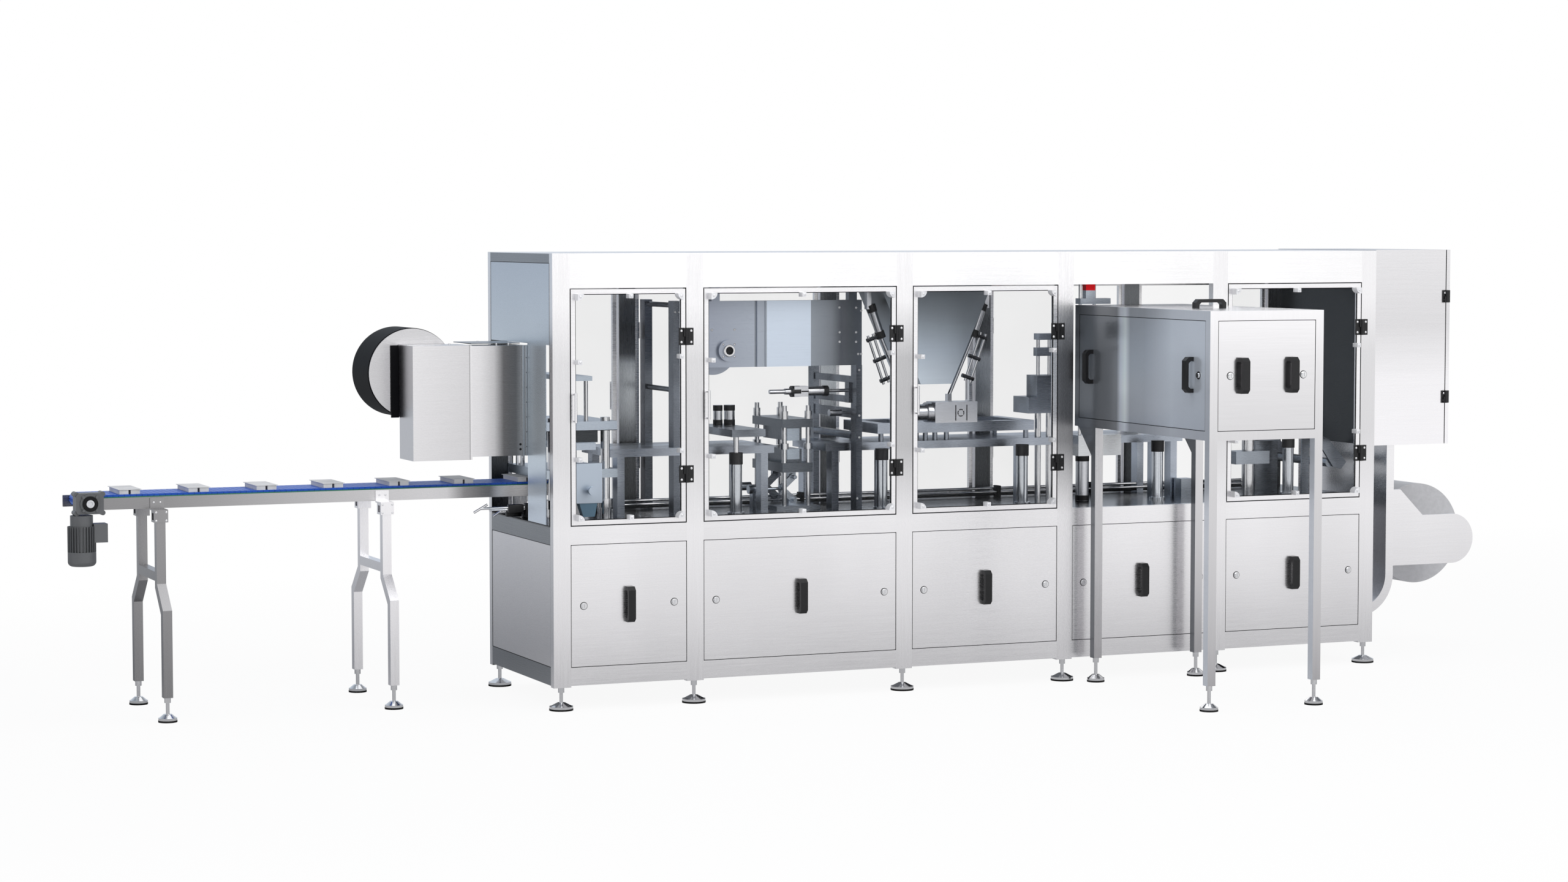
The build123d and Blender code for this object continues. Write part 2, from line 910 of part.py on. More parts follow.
# Motor: flange, finned body, terminal box and a rounded fan cover
motor_x = drum_x - motor_offset
motor_top = drum_z - half_height
fin_top = motor_top - 46
with BuildPart() as motor:
    with BuildSketch(Plane.XZ) as outline:
        with BuildLine():
            cover_edge = motor_bottom + motor_cover_round
            line = Polyline(
                (0, motor_bottom),
                (motor_radius - motor_cover_round, motor_bottom),
            )
            bend = RadiusArc(line @ 1, (motor_radius, cover_edge), -motor_cover_round)
            Polyline(
                bend @ 1,
                (motor_radius, motor_bottom + motor_cover),
                (motor_core, motor_bottom + motor_cover),
                (motor_core, fin_top),
                (motor_radius - 12, fin_top),
                (motor_radius - 12, motor_top),
                (0, motor_top),
                line @ 0,
            )
        make_face()
    turned = revolve(outline.sketch, axis=Axis.Z, mode=Mode.PRIVATE)
    add(turned.moved(Location((motor_x + shift_x, gearbox_y + shift_y, 0))))
    middle = (motor_x + shift_x, gearbox_y + shift_y, (motor_bottom + motor_cover + fin_top) / 2)
    with Locations(middle):
        with PolarLocations((motor_core + motor_radius) / 2 - 2, motor_fins):
            Box(motor_radius - motor_core + 4, 3, fin_top - motor_bottom - motor_cover)
    box_top = motor_top - 36
    slab(motor_x + motor_core - 4, motor_x + 105, gearbox_y - 34, gearbox_y + 34, box_top - 80, box_top)
save(motor, "motor")

# Top film unwinder: two box covers on the left end of the frame
with BuildPart() as unwinder_covers:
    split = -unwinder_split
    slab(
        -unwinder_length,
        split,
        unwinder_front,
        unwinder_front + unwinder_depth,
        unwinder_bottom,
        unwinder_top,
    )
    slab(
        split,
        0,
        unwinder_front + unwinder_step,
        unwinder_front + unwinder_depth,
        unwinder_bottom + 10,
        unwinder_top - 5,
    )
    length = reel_gap + reel_disc + lid_film_width + reel_shaft_end
    back = unwinder_front + unwinder_depth
    bar(reel_x, back + length / 2, reel_z, reel_shaft_radius, length, "Y")
save(unwinder_covers, "unwinder_covers")

reel_front = unwinder_front + unwinder_depth + reel_gap
with BuildPart() as lid_reel:
    bar(reel_x, reel_front + reel_disc / 2, reel_z, reel_radius, reel_disc, "Y")
    bar(reel_x, reel_front + reel_disc + lid_film_width / 2, reel_z, reel_core_radius, lid_film_width, "Y")
    bar(
        reel_x,
        reel_front + (reel_disc + lid_film_width) / 2,
        reel_z,
        reel_shaft_radius + running_gap,
        reel_disc + lid_film_width,
        "Y",
        Mode.SUBTRACT,
    )
save(lid_reel, "lid_reel")

with BuildPart() as lid_film:
    bar(reel_x, reel_front + reel_disc + lid_film_width / 2, reel_z, lid_film_radius, lid_film_width, "Y")
    bar(
        reel_x,
        reel_front + reel_disc + lid_film_width / 2,
        reel_z,
        reel_core_radius,
        lid_film_width,
        "Y",
        Mode.SUBTRACT,
    )
save(lid_film, "lid_film")

# Front cabinet: one welded frame with four legs and gussets
roof_under = cabinet_top - cabinet_sheet
rear_leg_y = cabinet_front + cabinet_rear_leg
with BuildPart() as cabinet_frame:
    for x in (cabinet_left, cabinet_right - cabinet_post):
        slab(x, x + cabinet_post, cabinet_front, cabinet_front + cabinet_post, cabinet_leg_bottom, roof_under)
        slab(x, x + cabinet_post, rear_leg_y, rear_leg_y + cabinet_post, cabinet_leg_bottom, cabinet_bottom)
        for z in (cabinet_bottom, roof_under - cabinet_post):
            slab(x, x + cabinet_post, cabinet_front + cabinet_post, cabinet_back, z, z + cabinet_post)
        slab(
            x,
            x + cabinet_post,
            cabinet_back - cabinet_post,
            cabinet_back,
            cabinet_bottom + cabinet_post,
            roof_under - cabinet_post,
        )
        gusset_x = x + (cabinet_post - gusset_sheet) / 2
        with BuildSketch(end_plane(gusset_x)) as gusset:
            with BuildLine():
                Polyline(
                    (rear_leg_y + cabinet_post, cabinet_bottom),
                    (rear_leg_y + cabinet_post + gusset_reach, cabinet_bottom),
                    (rear_leg_y + cabinet_post, cabinet_bottom - gusset_reach),
                    close=True,
                )
            make_face()
        extrude(gusset.sketch, amount=gusset_sheet)
    for y in (cabinet_front, cabinet_back - cabinet_post):
        for z in (cabinet_bottom, roof_under - cabinet_post):
            slab(cabinet_left + cabinet_post, cabinet_right - cabinet_post, y, y + cabinet_post, z, z + cabinet_post)
save(cabinet_frame, "cabinet_frame")

with BuildPart() as cabinet_panels:
    height = cabinet_top - cabinet_sheet - cabinet_bottom - 2 * cabinet_post
    middle_z = (cabinet_bottom + cabinet_top - cabinet_sheet) / 2
    middle_x = (cabinet_left + cabinet_right) / 2
    middle_y = (cabinet_front + cabinet_back) / 2
    for y, side in ((cabinet_front, "front"), (cabinet_back, "back")):
        cover_panel(facing(middle_x, y, middle_z, side), cabinet_width - 2 * cabinet_post, height)
    for x, side in ((cabinet_left, "left"), (cabinet_right, "right")):
        cover_panel(facing(x, middle_y, middle_z, side), cabinet_length - 2 * cabinet_post, height)
    slab(cabinet_left, cabinet_right, cabinet_front, cabinet_back, roof_under, cabinet_top)
save(cabinet_panels, "cabinet_panels")

# End cover over the film inlet, with a door on its outer end
with BuildPart() as end_cover:
    slab(frame_length, cover_right, 0, frame_depth, cover_bottom, cover_top)
save(end_cover, "end_cover")

with BuildPart() as cover_door_hinges:
    for z in cover_hinge_heights:
        cover_knuckle(1, z, z + hinge_clearance, z + cover_hinge_length / 2)
save(cover_door_hinges, "cover_door_hinges")

with BuildPart() as cover_door:
    slab(
        cover_right + door_gap,
        cover_right + door_gap + cover_door_thickness,
        0,
        frame_depth,
        cover_bottom,
        cover_top,
    )
save(cover_door, "cover_door")

# Curved guard around the film loop at the inlet
guard_right = frame_length + guard_left_gap + guard_flange
guard_centre_x = guard_right - guard_radius
with BuildPart() as film_guard:
    for y0, y1, depth in (
        (guard_set_back, guard_set_back + guard_sheet, guard_flange),
        (guard_set_back + guard_sheet, frame_depth - guard_set_back - guard_sheet, guard_sheet),
        (frame_depth - guard_set_back - guard_sheet, frame_depth - guard_set_back, guard_flange),
    ):
        with BuildSketch(front_plane(y0)) as band:
            with Locations((guard_centre_x, guard_straight_bottom)):
                Circle(guard_radius)
                Circle(guard_radius - depth, mode=Mode.SUBTRACT)
                with Locations((-guard_radius, 0)):
                    Rectangle(2 * guard_radius, 2 * guard_radius + 2, mode=Mode.SUBTRACT)
                with Locations((0, guard_radius)):
                    Rectangle(2 * guard_radius + 2, 2 * guard_radius, mode=Mode.SUBTRACT)
            with Locations((guard_right - depth / 2, (guard_straight_bottom + cover_bottom) / 2)):
                Rectangle(depth, cover_bottom - guard_straight_bottom)
            with Locations((frame_length - guard_radius, guard_straight_bottom)):
                Rectangle(2 * guard_radius, 3 * guard_radius, mode=Mode.SUBTRACT)
        extrude(band.sketch, amount=-(y1 - y0))
save(film_guard, "film_guard")

# Arm plate that carries the bottom film roll
with BuildPart() as roll_arm:
    with BuildSketch(front_plane(arm_set_back)) as plate:
        with BuildLine():
            Polyline(
                (guard_right, arm_bottom),
                (guard_right, arm_top),
                (guard_right + arm_slope_start, arm_top),
                (guard_right + arm_slope_start + arm_top - roll_z - arm_end_radius, roll_z + arm_end_radius),
                (roll_x, roll_z + arm_end_radius),
                (roll_x, roll_z - arm_end_radius),
                close=True,
            )
        make_face()
        with Locations((roll_x, roll_z)):
            Circle(arm_end_radius)
    extrude(plate.sketch, amount=-arm_plate)
    shaft_start = arm_set_back + arm_plate
    shaft_end = roll_front + roll_width + roll_shaft_end
    bar(roll_x, (shaft_start + shaft_end) / 2, roll_z, roll_shaft_radius, shaft_end - shaft_start, "Y")
save(roll_arm, "roll_arm")

with BuildPart() as film_roll:
    middle = roll_front + roll_width / 2
    bar(roll_x, middle, roll_z, roll_radius, roll_width, "Y")
    bar(roll_x, middle, roll_z, roll_shaft_radius + running_gap, roll_width, "Y", Mode.SUBTRACT)
save(film_roll, "film_roll")

# Inside the frame: round columns of the presses and of the stamping unit
def rod(x, y, low, high, radius):
    """Upright round rod between two heights above the deck."""
    return (x, y, base_top + low, base_top + high, radius)


def place_rods(rods, mode=Mode.ADD):
    """Add or cut a list of upright rods."""
    for x, y, z0, z1, radius in rods:
        bar(x, y, (z0 + z1) / 2, radius, z1 - z0, mode=mode)


def tray_block(x0, x1, y0, y1, low, high, mode=Mode.ADD):
    """One block whose heights are above the deck."""
    slab(x0, x1, y0, y1, base_top + low, base_top + high, mode)


punch_back = punch_front + 2 * punch_half_pitch[1]
punch_xs = (punch_x - punch_half_pitch[0], punch_x + punch_half_pitch[0])
form_xs = (form_x - form_half_pitch[0], form_x + form_half_pitch[0])
form_ys = (form_y - form_half_pitch[1], form_y + form_half_pitch[1])
stamp_xs = (stamp_x - stamp_half_pitch, stamp_x + stamp_half_pitch)
column_lines = [column_first + i * column_pitch for i in range(column_count)]
roof_height = roof_z - base_top
punch_head_top = punch_head[0] + punch_head[1]
form_head_top = form_head[0] + form_head[1]

press_rods = []
for x in punch_xs:
    for y in (punch_front, punch_back):
        press_rods.append(rod(x, y, 0, punch_column_height, punch_column_radius))
        press_rods.append(rod(x, y, 0, punch_bush_height - 25, punch_bush_radius - 7))
        press_rods.append(rod(x, y, punch_bush_height - 40, punch_bush_height, punch_bush_radius))
for x in (punch_x - punch_rod_half, punch_x + punch_rod_half):
    for y in (punch_front + 20, punch_back - 20):
        press_rods.append(rod(x, y, punch_head_top, punch_top_height, punch_rod_radius))
for x in form_xs:
    for y in form_ys:
        press_rods.append(rod(x, y, 0, form_column_height, form_column_radius))
        press_rods.append(rod(x, y, form_head_top, form_head_top + form_collar_height, form_collar_radius))
        press_rods.append(rod(x, y, 278, 305, form_collar_radius + 3))
for x in stamp_xs:
    press_rods.append(rod(x, stamp_y, 0, 421, 15))
    press_rods.append(rod(x, stamp_y, 601, 770, 9))
press_rods.append(rod(column_first, column_y, column_height + column_cap_height, 354, 13))
press_rods.append(rod(column_first, 740, table_height, 354, 13))
press_rods.append(rod(clamp_x, clamp_y, 0, 303, clamp_radius))
for x in (2788, 2863):
    press_rods.append(rod(x, 370, 314, roof_height, 8))

with BuildPart() as press_columns:
    place_rods(press_rods)
save(press_columns, "press_columns")

# Web table on its legs, with the upper table on spacers
with BuildPart() as web_table:
    table_under = table_height - table_sheet
    for start, end in table_parts:
        tray_block(start, end, table_front, table_back, table_under, table_height)
        for x in (start + table_leg_inset, end - table_leg_inset):
            for y in (table_front + 30, table_back - 30):
                half = table_leg_width / 2
                tray_block(x - half, x + half, y - 30, y + 30, 0, table_under)
    for x in column_lines[:-1]:
        left = x + table_leg_offset
        if left > table_parts[0][0] and not table_parts[0][1] < left < table_parts[1][0]:
            tray_block(left, left + table_leg_width, table_front, table_front + 60, 0, table_under)
    x0, x1 = upper_table
    low = upper_table_height
    high = low + upper_table_sheet
    tray_block(x0, x1, table_front, table_front + upper_table_rail, low, high)
    tray_block(x0, x1, table_back - upper_table_rail, table_back, low, high)
    for left in (x0, x1 - upper_table_rail):
        tray_block(left, left + upper_table_rail, table_front, table_back, low, high)
    tray_block(drive_plate[0], drive_plate[1], table_front, table_back, low, high)
    spacers = []
    for x in (x0 + 30, hopper_x - 90, hopper_x - 40, hopper_x + 20, x1 - 30):
        for y in (table_front + 30, table_back - 30):
            spacers.append(rod(x, y, table_height, low, spacer_radius))
    place_rods(spacers)
    x, width, front, height = web_first
    tray_block(x, x + width, front, front + web_upright_depth, 0, height, Mode.SUBTRACT)
    place_rods(press_rods, Mode.SUBTRACT)
save(web_table, "web_table")

# Guide columns with their caps
with BuildPart() as guide_columns:
    for x in column_lines:
        cap_top = column_height + column_cap_height
        tube = rod(x, column_y, 0, column_height, column_radius)
        cap = rod(x, column_y, column_height, cap_top, column_cap_radius)
        flange = rod(x, column_y, 0, column_foot_height, column_cap_radius + 8)
        place_rods([tube, cap, flange])
save(guide_columns, "guide_columns")

# Plates and blocks carried by the columns
with BuildPart() as press_plates:
    head_low, head_sheet = punch_head
    neck_low, neck_sheet = punch_neck
    bed_low, bed_sheet = punch_bed
    y0 = punch_front - punch_edge
    y1 = punch_back + punch_edge
    for low, sheet in (punch_head, punch_bed):
        tray_block(punch_x - punch_plate_half, punch_x + punch_plate_half, y0, y1, low, low + sheet)
    half = punch_neck_half
    tray_block(punch_x - half, punch_x + half, y0, y1, neck_low, neck_low + neck_sheet)
    half = punch_block_half
    tray_block(punch_x - half, punch_x + half, y0 + 21, y1 - 21, neck_low + neck_sheet, head_low)
    half = punch_top_half
    high = punch_top_height + punch_top_sheet
    tray_block(punch_x - half, punch_x + half, y0 + 20, y1 - 20, punch_top_height, high)
    for low, sheet in (form_head, form_bed):
        tray_block(
            form_x - form_plate_half[0],
            form_x + form_plate_half[0],
            form_y - form_plate_half[1],
            form_y + form_plate_half[1],
            low,
            low + sheet,
        )
    half = form_block_half
    for low in (form_head[0] - form_block_height, form_bed[0] + form_bed[1]):
        high = low + form_block_height
        tray_block(form_x - half, form_x + half, form_ys[0] + 20, form_ys[1] - 20, low, high)
    tray_block(
        form_x - form_foot_half[0],
        form_x + form_foot_half[0],
        form_y - form_foot_half[1],
        form_y + form_foot_half[1],
        0,
        form_foot_sheet,
    )
    tray_block(stamp_x - 100, stamp_x + 50, 400, 560, 421, 498)
    tray_block(stamp_x - 55, stamp_x + 50, 400, 510, 498, 601)
    tray_block(stamp_x - 45, stamp_x + 45, stamp_y - 20, stamp_y + 20, 693, 733)
    tray_block(stamp_x - 38, stamp_x + 50, stamp_y - 30, stamp_y + 30, 770, 800)
    tray_block(955, 1120, column_y - 15, 765, 354, 387)
    tray_block(clamp_x - 95, clamp_x + 92, clamp_y - 50, clamp_y + 50, 158, 220)
    tray_block(2767, 2998, 340, table_front, 215, 314)
    tray_block(2776, 2939, 345, 395, 940, 967)
    tray_block(2809, 2859, 352, 388, 967, 1090)
    tray_block(3781, 3908, 400, 412, 0, 256)
    tray_block(3319, 3389, 320, 390, 0, 91)
    place_rods(press_rods, Mode.SUBTRACT)
save(press_plates, "press_plates")


def link_bar(y, start, end):
    """Flat link between two pins, seen from the front."""
    run = end[0] - start[0]
    rise = end[1] - start[1]
    length = sqrt(run * run + rise * rise)
    with BuildSketch(front_plane(y - link_sheet / 2)) as flat:
        with Locations(((start[0] + end[0]) / 2, base_top + (start[1] + end[1]) / 2)):
            SlotCenterToCenter(length, link_width, rotation=degrees(asin(rise / length)))
    extrude(flat.sketch, amount=-link_sheet)


# Links that lift the lower plate of the forming press, front and back
with BuildPart() as press_linkage:
    low_pin = form_foot_sheet + 25
    high_pin = form_bed[0] - 25
    knee = (low_pin + high_pin) / 2
    for y in (form_ys[0] + 40, form_ys[1] - 100):
        for height in (low_pin, high_pin):
            bar(form_x, y, base_top + height, link_pin_radius, 60, "Y")
        tray_block(form_x - 18, form_x + 18, y + 7, y + 30, form_foot_sheet, low_pin + 12)
        tray_block(form_x - 18, form_x + 18, y + 7, y + 30, high_pin - 12, form_bed[0])
        link_bar(y, (form_x - link_reach, knee), (form_x, high_pin))
        link_bar(y, (form_x - link_reach, knee), (form_x, low_pin))
        bar(form_x - link_reach, y, base_top + knee, link_pin_radius, 40, "Y")
        rod_end = form_x - link_reach
        bar(rod_end - 40, y, base_top + knee, lift_rod_radius, 80, "X")
        bar(rod_end - 120, y, base_top + knee, lift_body_radius, 90, "X")
        tray_block(rod_end - 150, rod_end - 130, y - 20, y + 20, 0, knee)
save(press_linkage, "press_linkage")

# Upright frames that carry the web bars and the web roller
with BuildPart() as web_frames:
    for x, width, front, height in (web_first, web_second):
        for y in (front, web_back):
            tray_block(x, x + width, y, y + web_upright_depth, 0, height)
    x, width, front, height = web_first
    middle = (front + web_upright_depth + web_back) / 2
    span = web_back - front - web_upright_depth
    for up in (height - 20, 565):
        bar(x + width / 2, middle, base_top + up, web_bar_radius, span, "Y")
    x, width, front, height = web_second
    middle = (front + web_upright_depth + web_back) / 2
    span = web_back - front - web_upright_depth
    inner = front + web_upright_depth
    for low, high in ((586, 617), (493, 523), (423, 468)):
        tray_block(x + 5, x + width - 5, inner, web_back, low, high)
    bar(x + width / 2, middle, base_top + table_height + 38, web_roller_radius, span, "Y")
    tray_block(x - 10, x + width, inner, inner + 46, 494, 588)
save(web_frames, "web_frames")

# Inner film unwinder: a row of box covers with a hub and the disc behind
with BuildPart() as inner_unwinder:
    left = inner_left
    top = inner_height + inner_tall
    for width, front in inner_steps:
        tray_block(left, left + width, front, case_back, inner_height, top)
        left += width
    for x in (inner_left + 23, left - 63):
        tray_block(x, x + 40, 262, case_back, top, roof_height)
    hub_z = base_top + inner_hub_height
    hub_front = inner_steps[0][1] - 18
    bar(inner_hub_x, hub_front + 10, hub_z, inner_hub_radius, 20, "Y")
    bar(inner_hub_x, (case_back + inner_disc_y) / 2, hub_z, 15, inner_disc_y - case_back, "Y")
    bar(inner_hub_x, inner_disc_y + 4, hub_z, inner_disc_radius, 8, "Y")
save(inner_unwinder, "inner_unwinder")

# Hopper that hangs from the roof over the upper table
with BuildPart() as hopper:
    mouth_z = base_top + hopper_height
    shoulder_z = opening_top - hopper_shoulder_gap
    half = hopper_bottom_half
    wide = half + (shoulder_z - mouth_z) * hopper_slope
    for wall, start, mode in ((0, 0, Mode.ADD), (hopper_sheet, hopper_sheet, Mode.SUBTRACT)):
        with BuildSketch(front_plane(hopper_front + start)) as outline:
            with BuildLine():
                Polyline(
                    (hopper_x - half + wall, mouth_z),
                    (hopper_x + half - wall, mouth_z),
                    (hopper_x + wide - wall, shoulder_z),
                    (hopper_x + wide - wall, roof_z),
                    (hopper_x - wide + wall, roof_z),
                    (hopper_x - wide + wall, shoulder_z),
                    close=True,
                )
            make_face()
        extrude(outline.sketch, amount=-(hopper_depth - 2 * start), mode=mode)
save(hopper, "hopper")


def sloping_bar(start, end, y, radius):
    """Round bar between two points of an upright plane."""
    run = end[0] - start[0]
    rise = end[1] - start[1]
    length = sqrt(run * run + rise * rise)
    middle = ((start[0] + end[0]) / 2 + shift_x, y + shift_y, (start[1] + end[1]) / 2)
    lean = degrees(asin(run / length))
    with Locations(middle):
        Cylinder(radius, length, rotation=(0, lean, 0))


# Cylinders and drives of the web, the hopper and the presses
with BuildPart() as actuators:
    for side in (-1, 1):
        foot_x = hopper_x + side * 113
        neck = (hopper_x + side * 242, base_top + 787)
        tray_block(foot_x - 10, foot_x + 10, 585, 615, upper_table_height + upper_table_sheet, 512)
        sloping_bar((foot_x, base_top + 500), neck, 600, 9)
        head = (hopper_x + side * 296, base_top + 936)
        sloping_bar(neck, head, 600, 20)
        hanger = head[0] + side * 14
        tray_block(hanger - 11, hanger + 11, 585, 615, 920, roof_height)
    tray_block(2014, 2233, 350, 450, upper_table_height + upper_table_sheet, 488)
    bar(1999, 400, base_top + 439, 47, 30, "X")
    bar(1942, 400, base_top + 439, 38, 84, "X")
    bar(1222, 385, base_top + 551, 10, 76, "X")
    bar(1280, 385, base_top + 551, 14, 40, "X")
    tray_block(1300, 1370, 361, 409, 527, 575)
    bar(1418, 385, base_top + 551, 22, 97, "X")
    bar(1520, 385, base_top + 551, 8, 110, "X")
    bar(1530, 420, base_top + 446, 16, 60, "X")
    bar(1575, 420, base_top + 446, 6, 30, "X")
    uprights = [
        rod(punch_x - 20, 440, punch_top_height + punch_top_sheet, 813, 22),
        rod(1033, form_y, 387, 481, 21),
        rod(1091, form_y, 387, 481, 25),
        rod(2804, 370, 0, 215, 32),
    ]
    place_rods(uprights)
save(actuators, "actuators")

# Scrap box and chute in front of the punching press
with BuildPart() as punch_chute:
    tray_block(211, 333, 290, punch_front - punch_edge, 75, 253)
    with BuildSketch(front_plane(295)) as funnel:
        with BuildLine():
            Polyline(
                (226, base_top + 75),
                (312, base_top + 75),
                (299, base_top + 14),
                (245, base_top + 14),
                close=True,
            )
        make_face()
    extrude(funnel.sketch, amount=-40)
    bar(272, 270, base_top + 133, 9, 40, "Y")
    bar(272, 247, base_top + 133, 20, 14, "Y")
save(punch_chute, "punch_chute")

# Arms that lead the film in under the end panel
with BuildPart() as infeed_arms:
    for y in arm_lines:
        with BuildSketch(front_plane(y)) as outline:
            with BuildLine():
                Polyline(
                    (3985, base_top),
                    (4025, base_top),
                    (4025, base_top + 225),
                    (4105, base_top + 213),
                    (4165, base_top + 128),
                    (4210, base_top + 115),
                    (4240, base_top + 150),
                    (4140, base_top + 263),
                    (4060, base_top + 303),
                    (3985, base_top + 303),
                    close=True,
                )
            make_face()
        extrude(outline.sketch, amount=-arm_sheet)
    span = arm_lines[1] - arm_lines[0] - arm_sheet
    middle = (arm_lines[0] + arm_sheet + arm_lines[1]) / 2
    bar(lead_roller_x, middle, base_top + lead_roller_height, lead_roller_radius, span, "Y")
save(infeed_arms, "infeed_arms")
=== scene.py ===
"""Looks of the thermoforming line: finishes, trim of doors and panels, belt, fittings, stage."""

import json
import math

import bmesh
import bpy
from mathutils import Matrix, Vector


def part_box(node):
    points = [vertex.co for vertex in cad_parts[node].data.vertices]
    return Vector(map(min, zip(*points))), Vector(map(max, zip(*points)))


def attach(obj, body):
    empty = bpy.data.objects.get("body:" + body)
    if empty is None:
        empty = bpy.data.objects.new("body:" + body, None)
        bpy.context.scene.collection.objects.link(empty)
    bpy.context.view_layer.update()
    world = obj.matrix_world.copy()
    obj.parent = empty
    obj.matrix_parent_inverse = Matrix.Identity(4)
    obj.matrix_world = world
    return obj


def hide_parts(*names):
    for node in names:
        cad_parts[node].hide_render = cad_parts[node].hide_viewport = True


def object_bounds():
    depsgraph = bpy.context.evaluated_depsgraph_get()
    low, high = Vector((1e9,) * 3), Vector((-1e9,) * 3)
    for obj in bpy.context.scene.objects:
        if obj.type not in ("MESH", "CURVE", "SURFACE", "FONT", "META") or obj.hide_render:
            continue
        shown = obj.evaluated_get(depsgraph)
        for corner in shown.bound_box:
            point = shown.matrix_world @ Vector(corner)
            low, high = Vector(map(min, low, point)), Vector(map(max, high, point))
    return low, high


bl_info = {
    "name": "Thermoforming Line Looks",
    "version": (1, 0, 0),
    "blender": (4, 5, 0),
    "location": "3D View > Sidebar > Thermoforming",
    "description": "Finishes and fits out the steel thermoforming line on its packed frame",
    "category": "Object",
}

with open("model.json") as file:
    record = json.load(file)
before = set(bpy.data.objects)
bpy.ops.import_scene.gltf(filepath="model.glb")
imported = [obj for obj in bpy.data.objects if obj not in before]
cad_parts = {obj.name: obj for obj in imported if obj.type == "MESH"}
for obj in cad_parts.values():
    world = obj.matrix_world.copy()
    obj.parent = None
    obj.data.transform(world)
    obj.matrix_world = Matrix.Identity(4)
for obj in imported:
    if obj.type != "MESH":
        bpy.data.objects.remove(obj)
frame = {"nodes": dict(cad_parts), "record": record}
CAD_BOX = [list(corner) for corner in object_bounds()]
FRAME_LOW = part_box("front_posts")[0]
ORIGIN_X = FRAME_LOW[0]
ORIGIN_Y = FRAME_LOW[1]
DOORS = ("door_1", "door_2", "door_3", "door_5")
MM = 0.001
X, Y, Z = range(3)
FORWARD = (0, -1, 0)
NEUTRAL = (1.0, 0.99, 1.01)
WHITE = (1.0, 1.0, 1.0)
# How far clips and their screws stand behind the door frame's front face
CLIP_STEP = 0.0005
# The inclined cylinders: middle between the two, and each one's ends from it, in line millimetres
CYLINDER_MIDDLE = 2090
CYLINDER_ENDS = ((242, 1594), (296, 1743))
# Screws on the plates that face the doors: X and Z in line millimetres
PLATE_SCREWS = {
    "inner_unwinder": (
        (851, 1650), (962, 1650), (1480, 1746), (1564, 1744), (1590, 1730), (1481, 1632),
        (1564, 1631), (1481, 1588), (1564, 1587), (1575, 1531), (1590, 1531),
    ),
    "web_frames": ((738, 1728), (758, 1728), (1599, 1455), (1600, 1244), (1600, 1143), (1590, 860)),
}


def at(x, y, z):
    """A place in metres from line millimetres: X from the frame's left end, Y from its front, Z up."""
    return Vector((ORIGIN_X + x * MM, ORIGIN_Y + y * MM, z * MM))


def line_x(x):
    """A place along the line in metres, from line millimetres."""
    return at(x, 0, 0).x


# Sizes and colours that a user would change


class TrimSizes(bpy.types.PropertyGroup):
    """Sizes of the small trim on doors and panels."""

    clip_side: bpy.props.FloatProperty(
        name="Clip side",
        description="Side of the square pane clips",
        default=0.020,
        unit="LENGTH",
    )
    corner_radius: bpy.props.FloatProperty(
        name="Corner clip radius",
        description="Radius of the quarter-round clips in the door corners",
        default=0.028,
        unit="LENGTH",
    )
    screw_radius: bpy.props.FloatProperty(
        name="Screw head radius",
        description="Radius of the button-head screws",
        default=0.0055,
        unit="LENGTH",
    )
    door_gap: bpy.props.FloatProperty(
        name="Door gap",
        description="Running gap round each guard door",
        default=0.005,
        unit="LENGTH",
    )
    seam_width: bpy.props.FloatProperty(
        name="Seam width",
        description="Width of the dark joint round each panel",
        default=0.0026,
        unit="LENGTH",
    )
    belt_pitch: bpy.props.FloatProperty(
        name="Belt pitch",
        description="Length of one row of belt links",
        default=0.0254,
        unit="LENGTH",
    )
    seal_width: bpy.props.FloatProperty(
        name="Seal width",
        description="Width of the dark seal round each pane",
        default=0.0035,
        unit="LENGTH",
    )


class LineColours(bpy.types.PropertyGroup):
    """Colours of the line's finishes."""

    steel: bpy.props.FloatVectorProperty(
        name="Brushed steel",
        description="Colour of the brushed stainless sheet and tubes",
        default=(0.90, 0.893, 0.908),
        subtype="COLOR",
        size=3,
    )
    cool_steel: bpy.props.FloatVectorProperty(
        name="End panel steel",
        description="Cooler steel of the end panels",
        default=(0.72, 0.80, 0.90),
        subtype="COLOR",
        size=3,
    )
    machined: bpy.props.FloatVectorProperty(
        name="Machined aluminium",
        description="Plates and blocks inside the frame",
        default=(0.26, 0.285, 0.32),
        subtype="COLOR",
        size=3,
    )
    belt: bpy.props.FloatVectorProperty(
        name="Belt blue",
        description="Modular conveyor belt",
        default=(0.016, 0.095, 0.52),
        subtype="COLOR",
        size=3,
    )
    funnel: bpy.props.FloatVectorProperty(
        name="Funnel blue",
        description="Painted scrap funnel",
        default=(0.16, 0.30, 0.42),
        subtype="COLOR",
        size=3,
    )


# Shader arithmetic


class Signal:
    """One shader output that takes part in plain arithmetic."""

    def __init__(self, finish, socket):
        self.finish = finish
        self.socket = socket

    def _join(self, kind, first, second):
        return self.finish.math(kind, first, second)

    def __add__(self, other):
        return self._join("ADD", self, other)

    def __radd__(self, other):
        return self._join("ADD", other, self)

    def __sub__(self, other):
        return self._join("SUBTRACT", self, other)

    def __rsub__(self, other):
        return self._join("SUBTRACT", other, self)

    def __mul__(self, other):
        return self._join("MULTIPLY", self, other)

    def __rmul__(self, other):
        return self._join("MULTIPLY", other, self)

    def __gt__(self, other):
        return self._join("GREATER_THAN", self, other)

    def __lt__(self, other):
        return self._join("LESS_THAN", self, other)


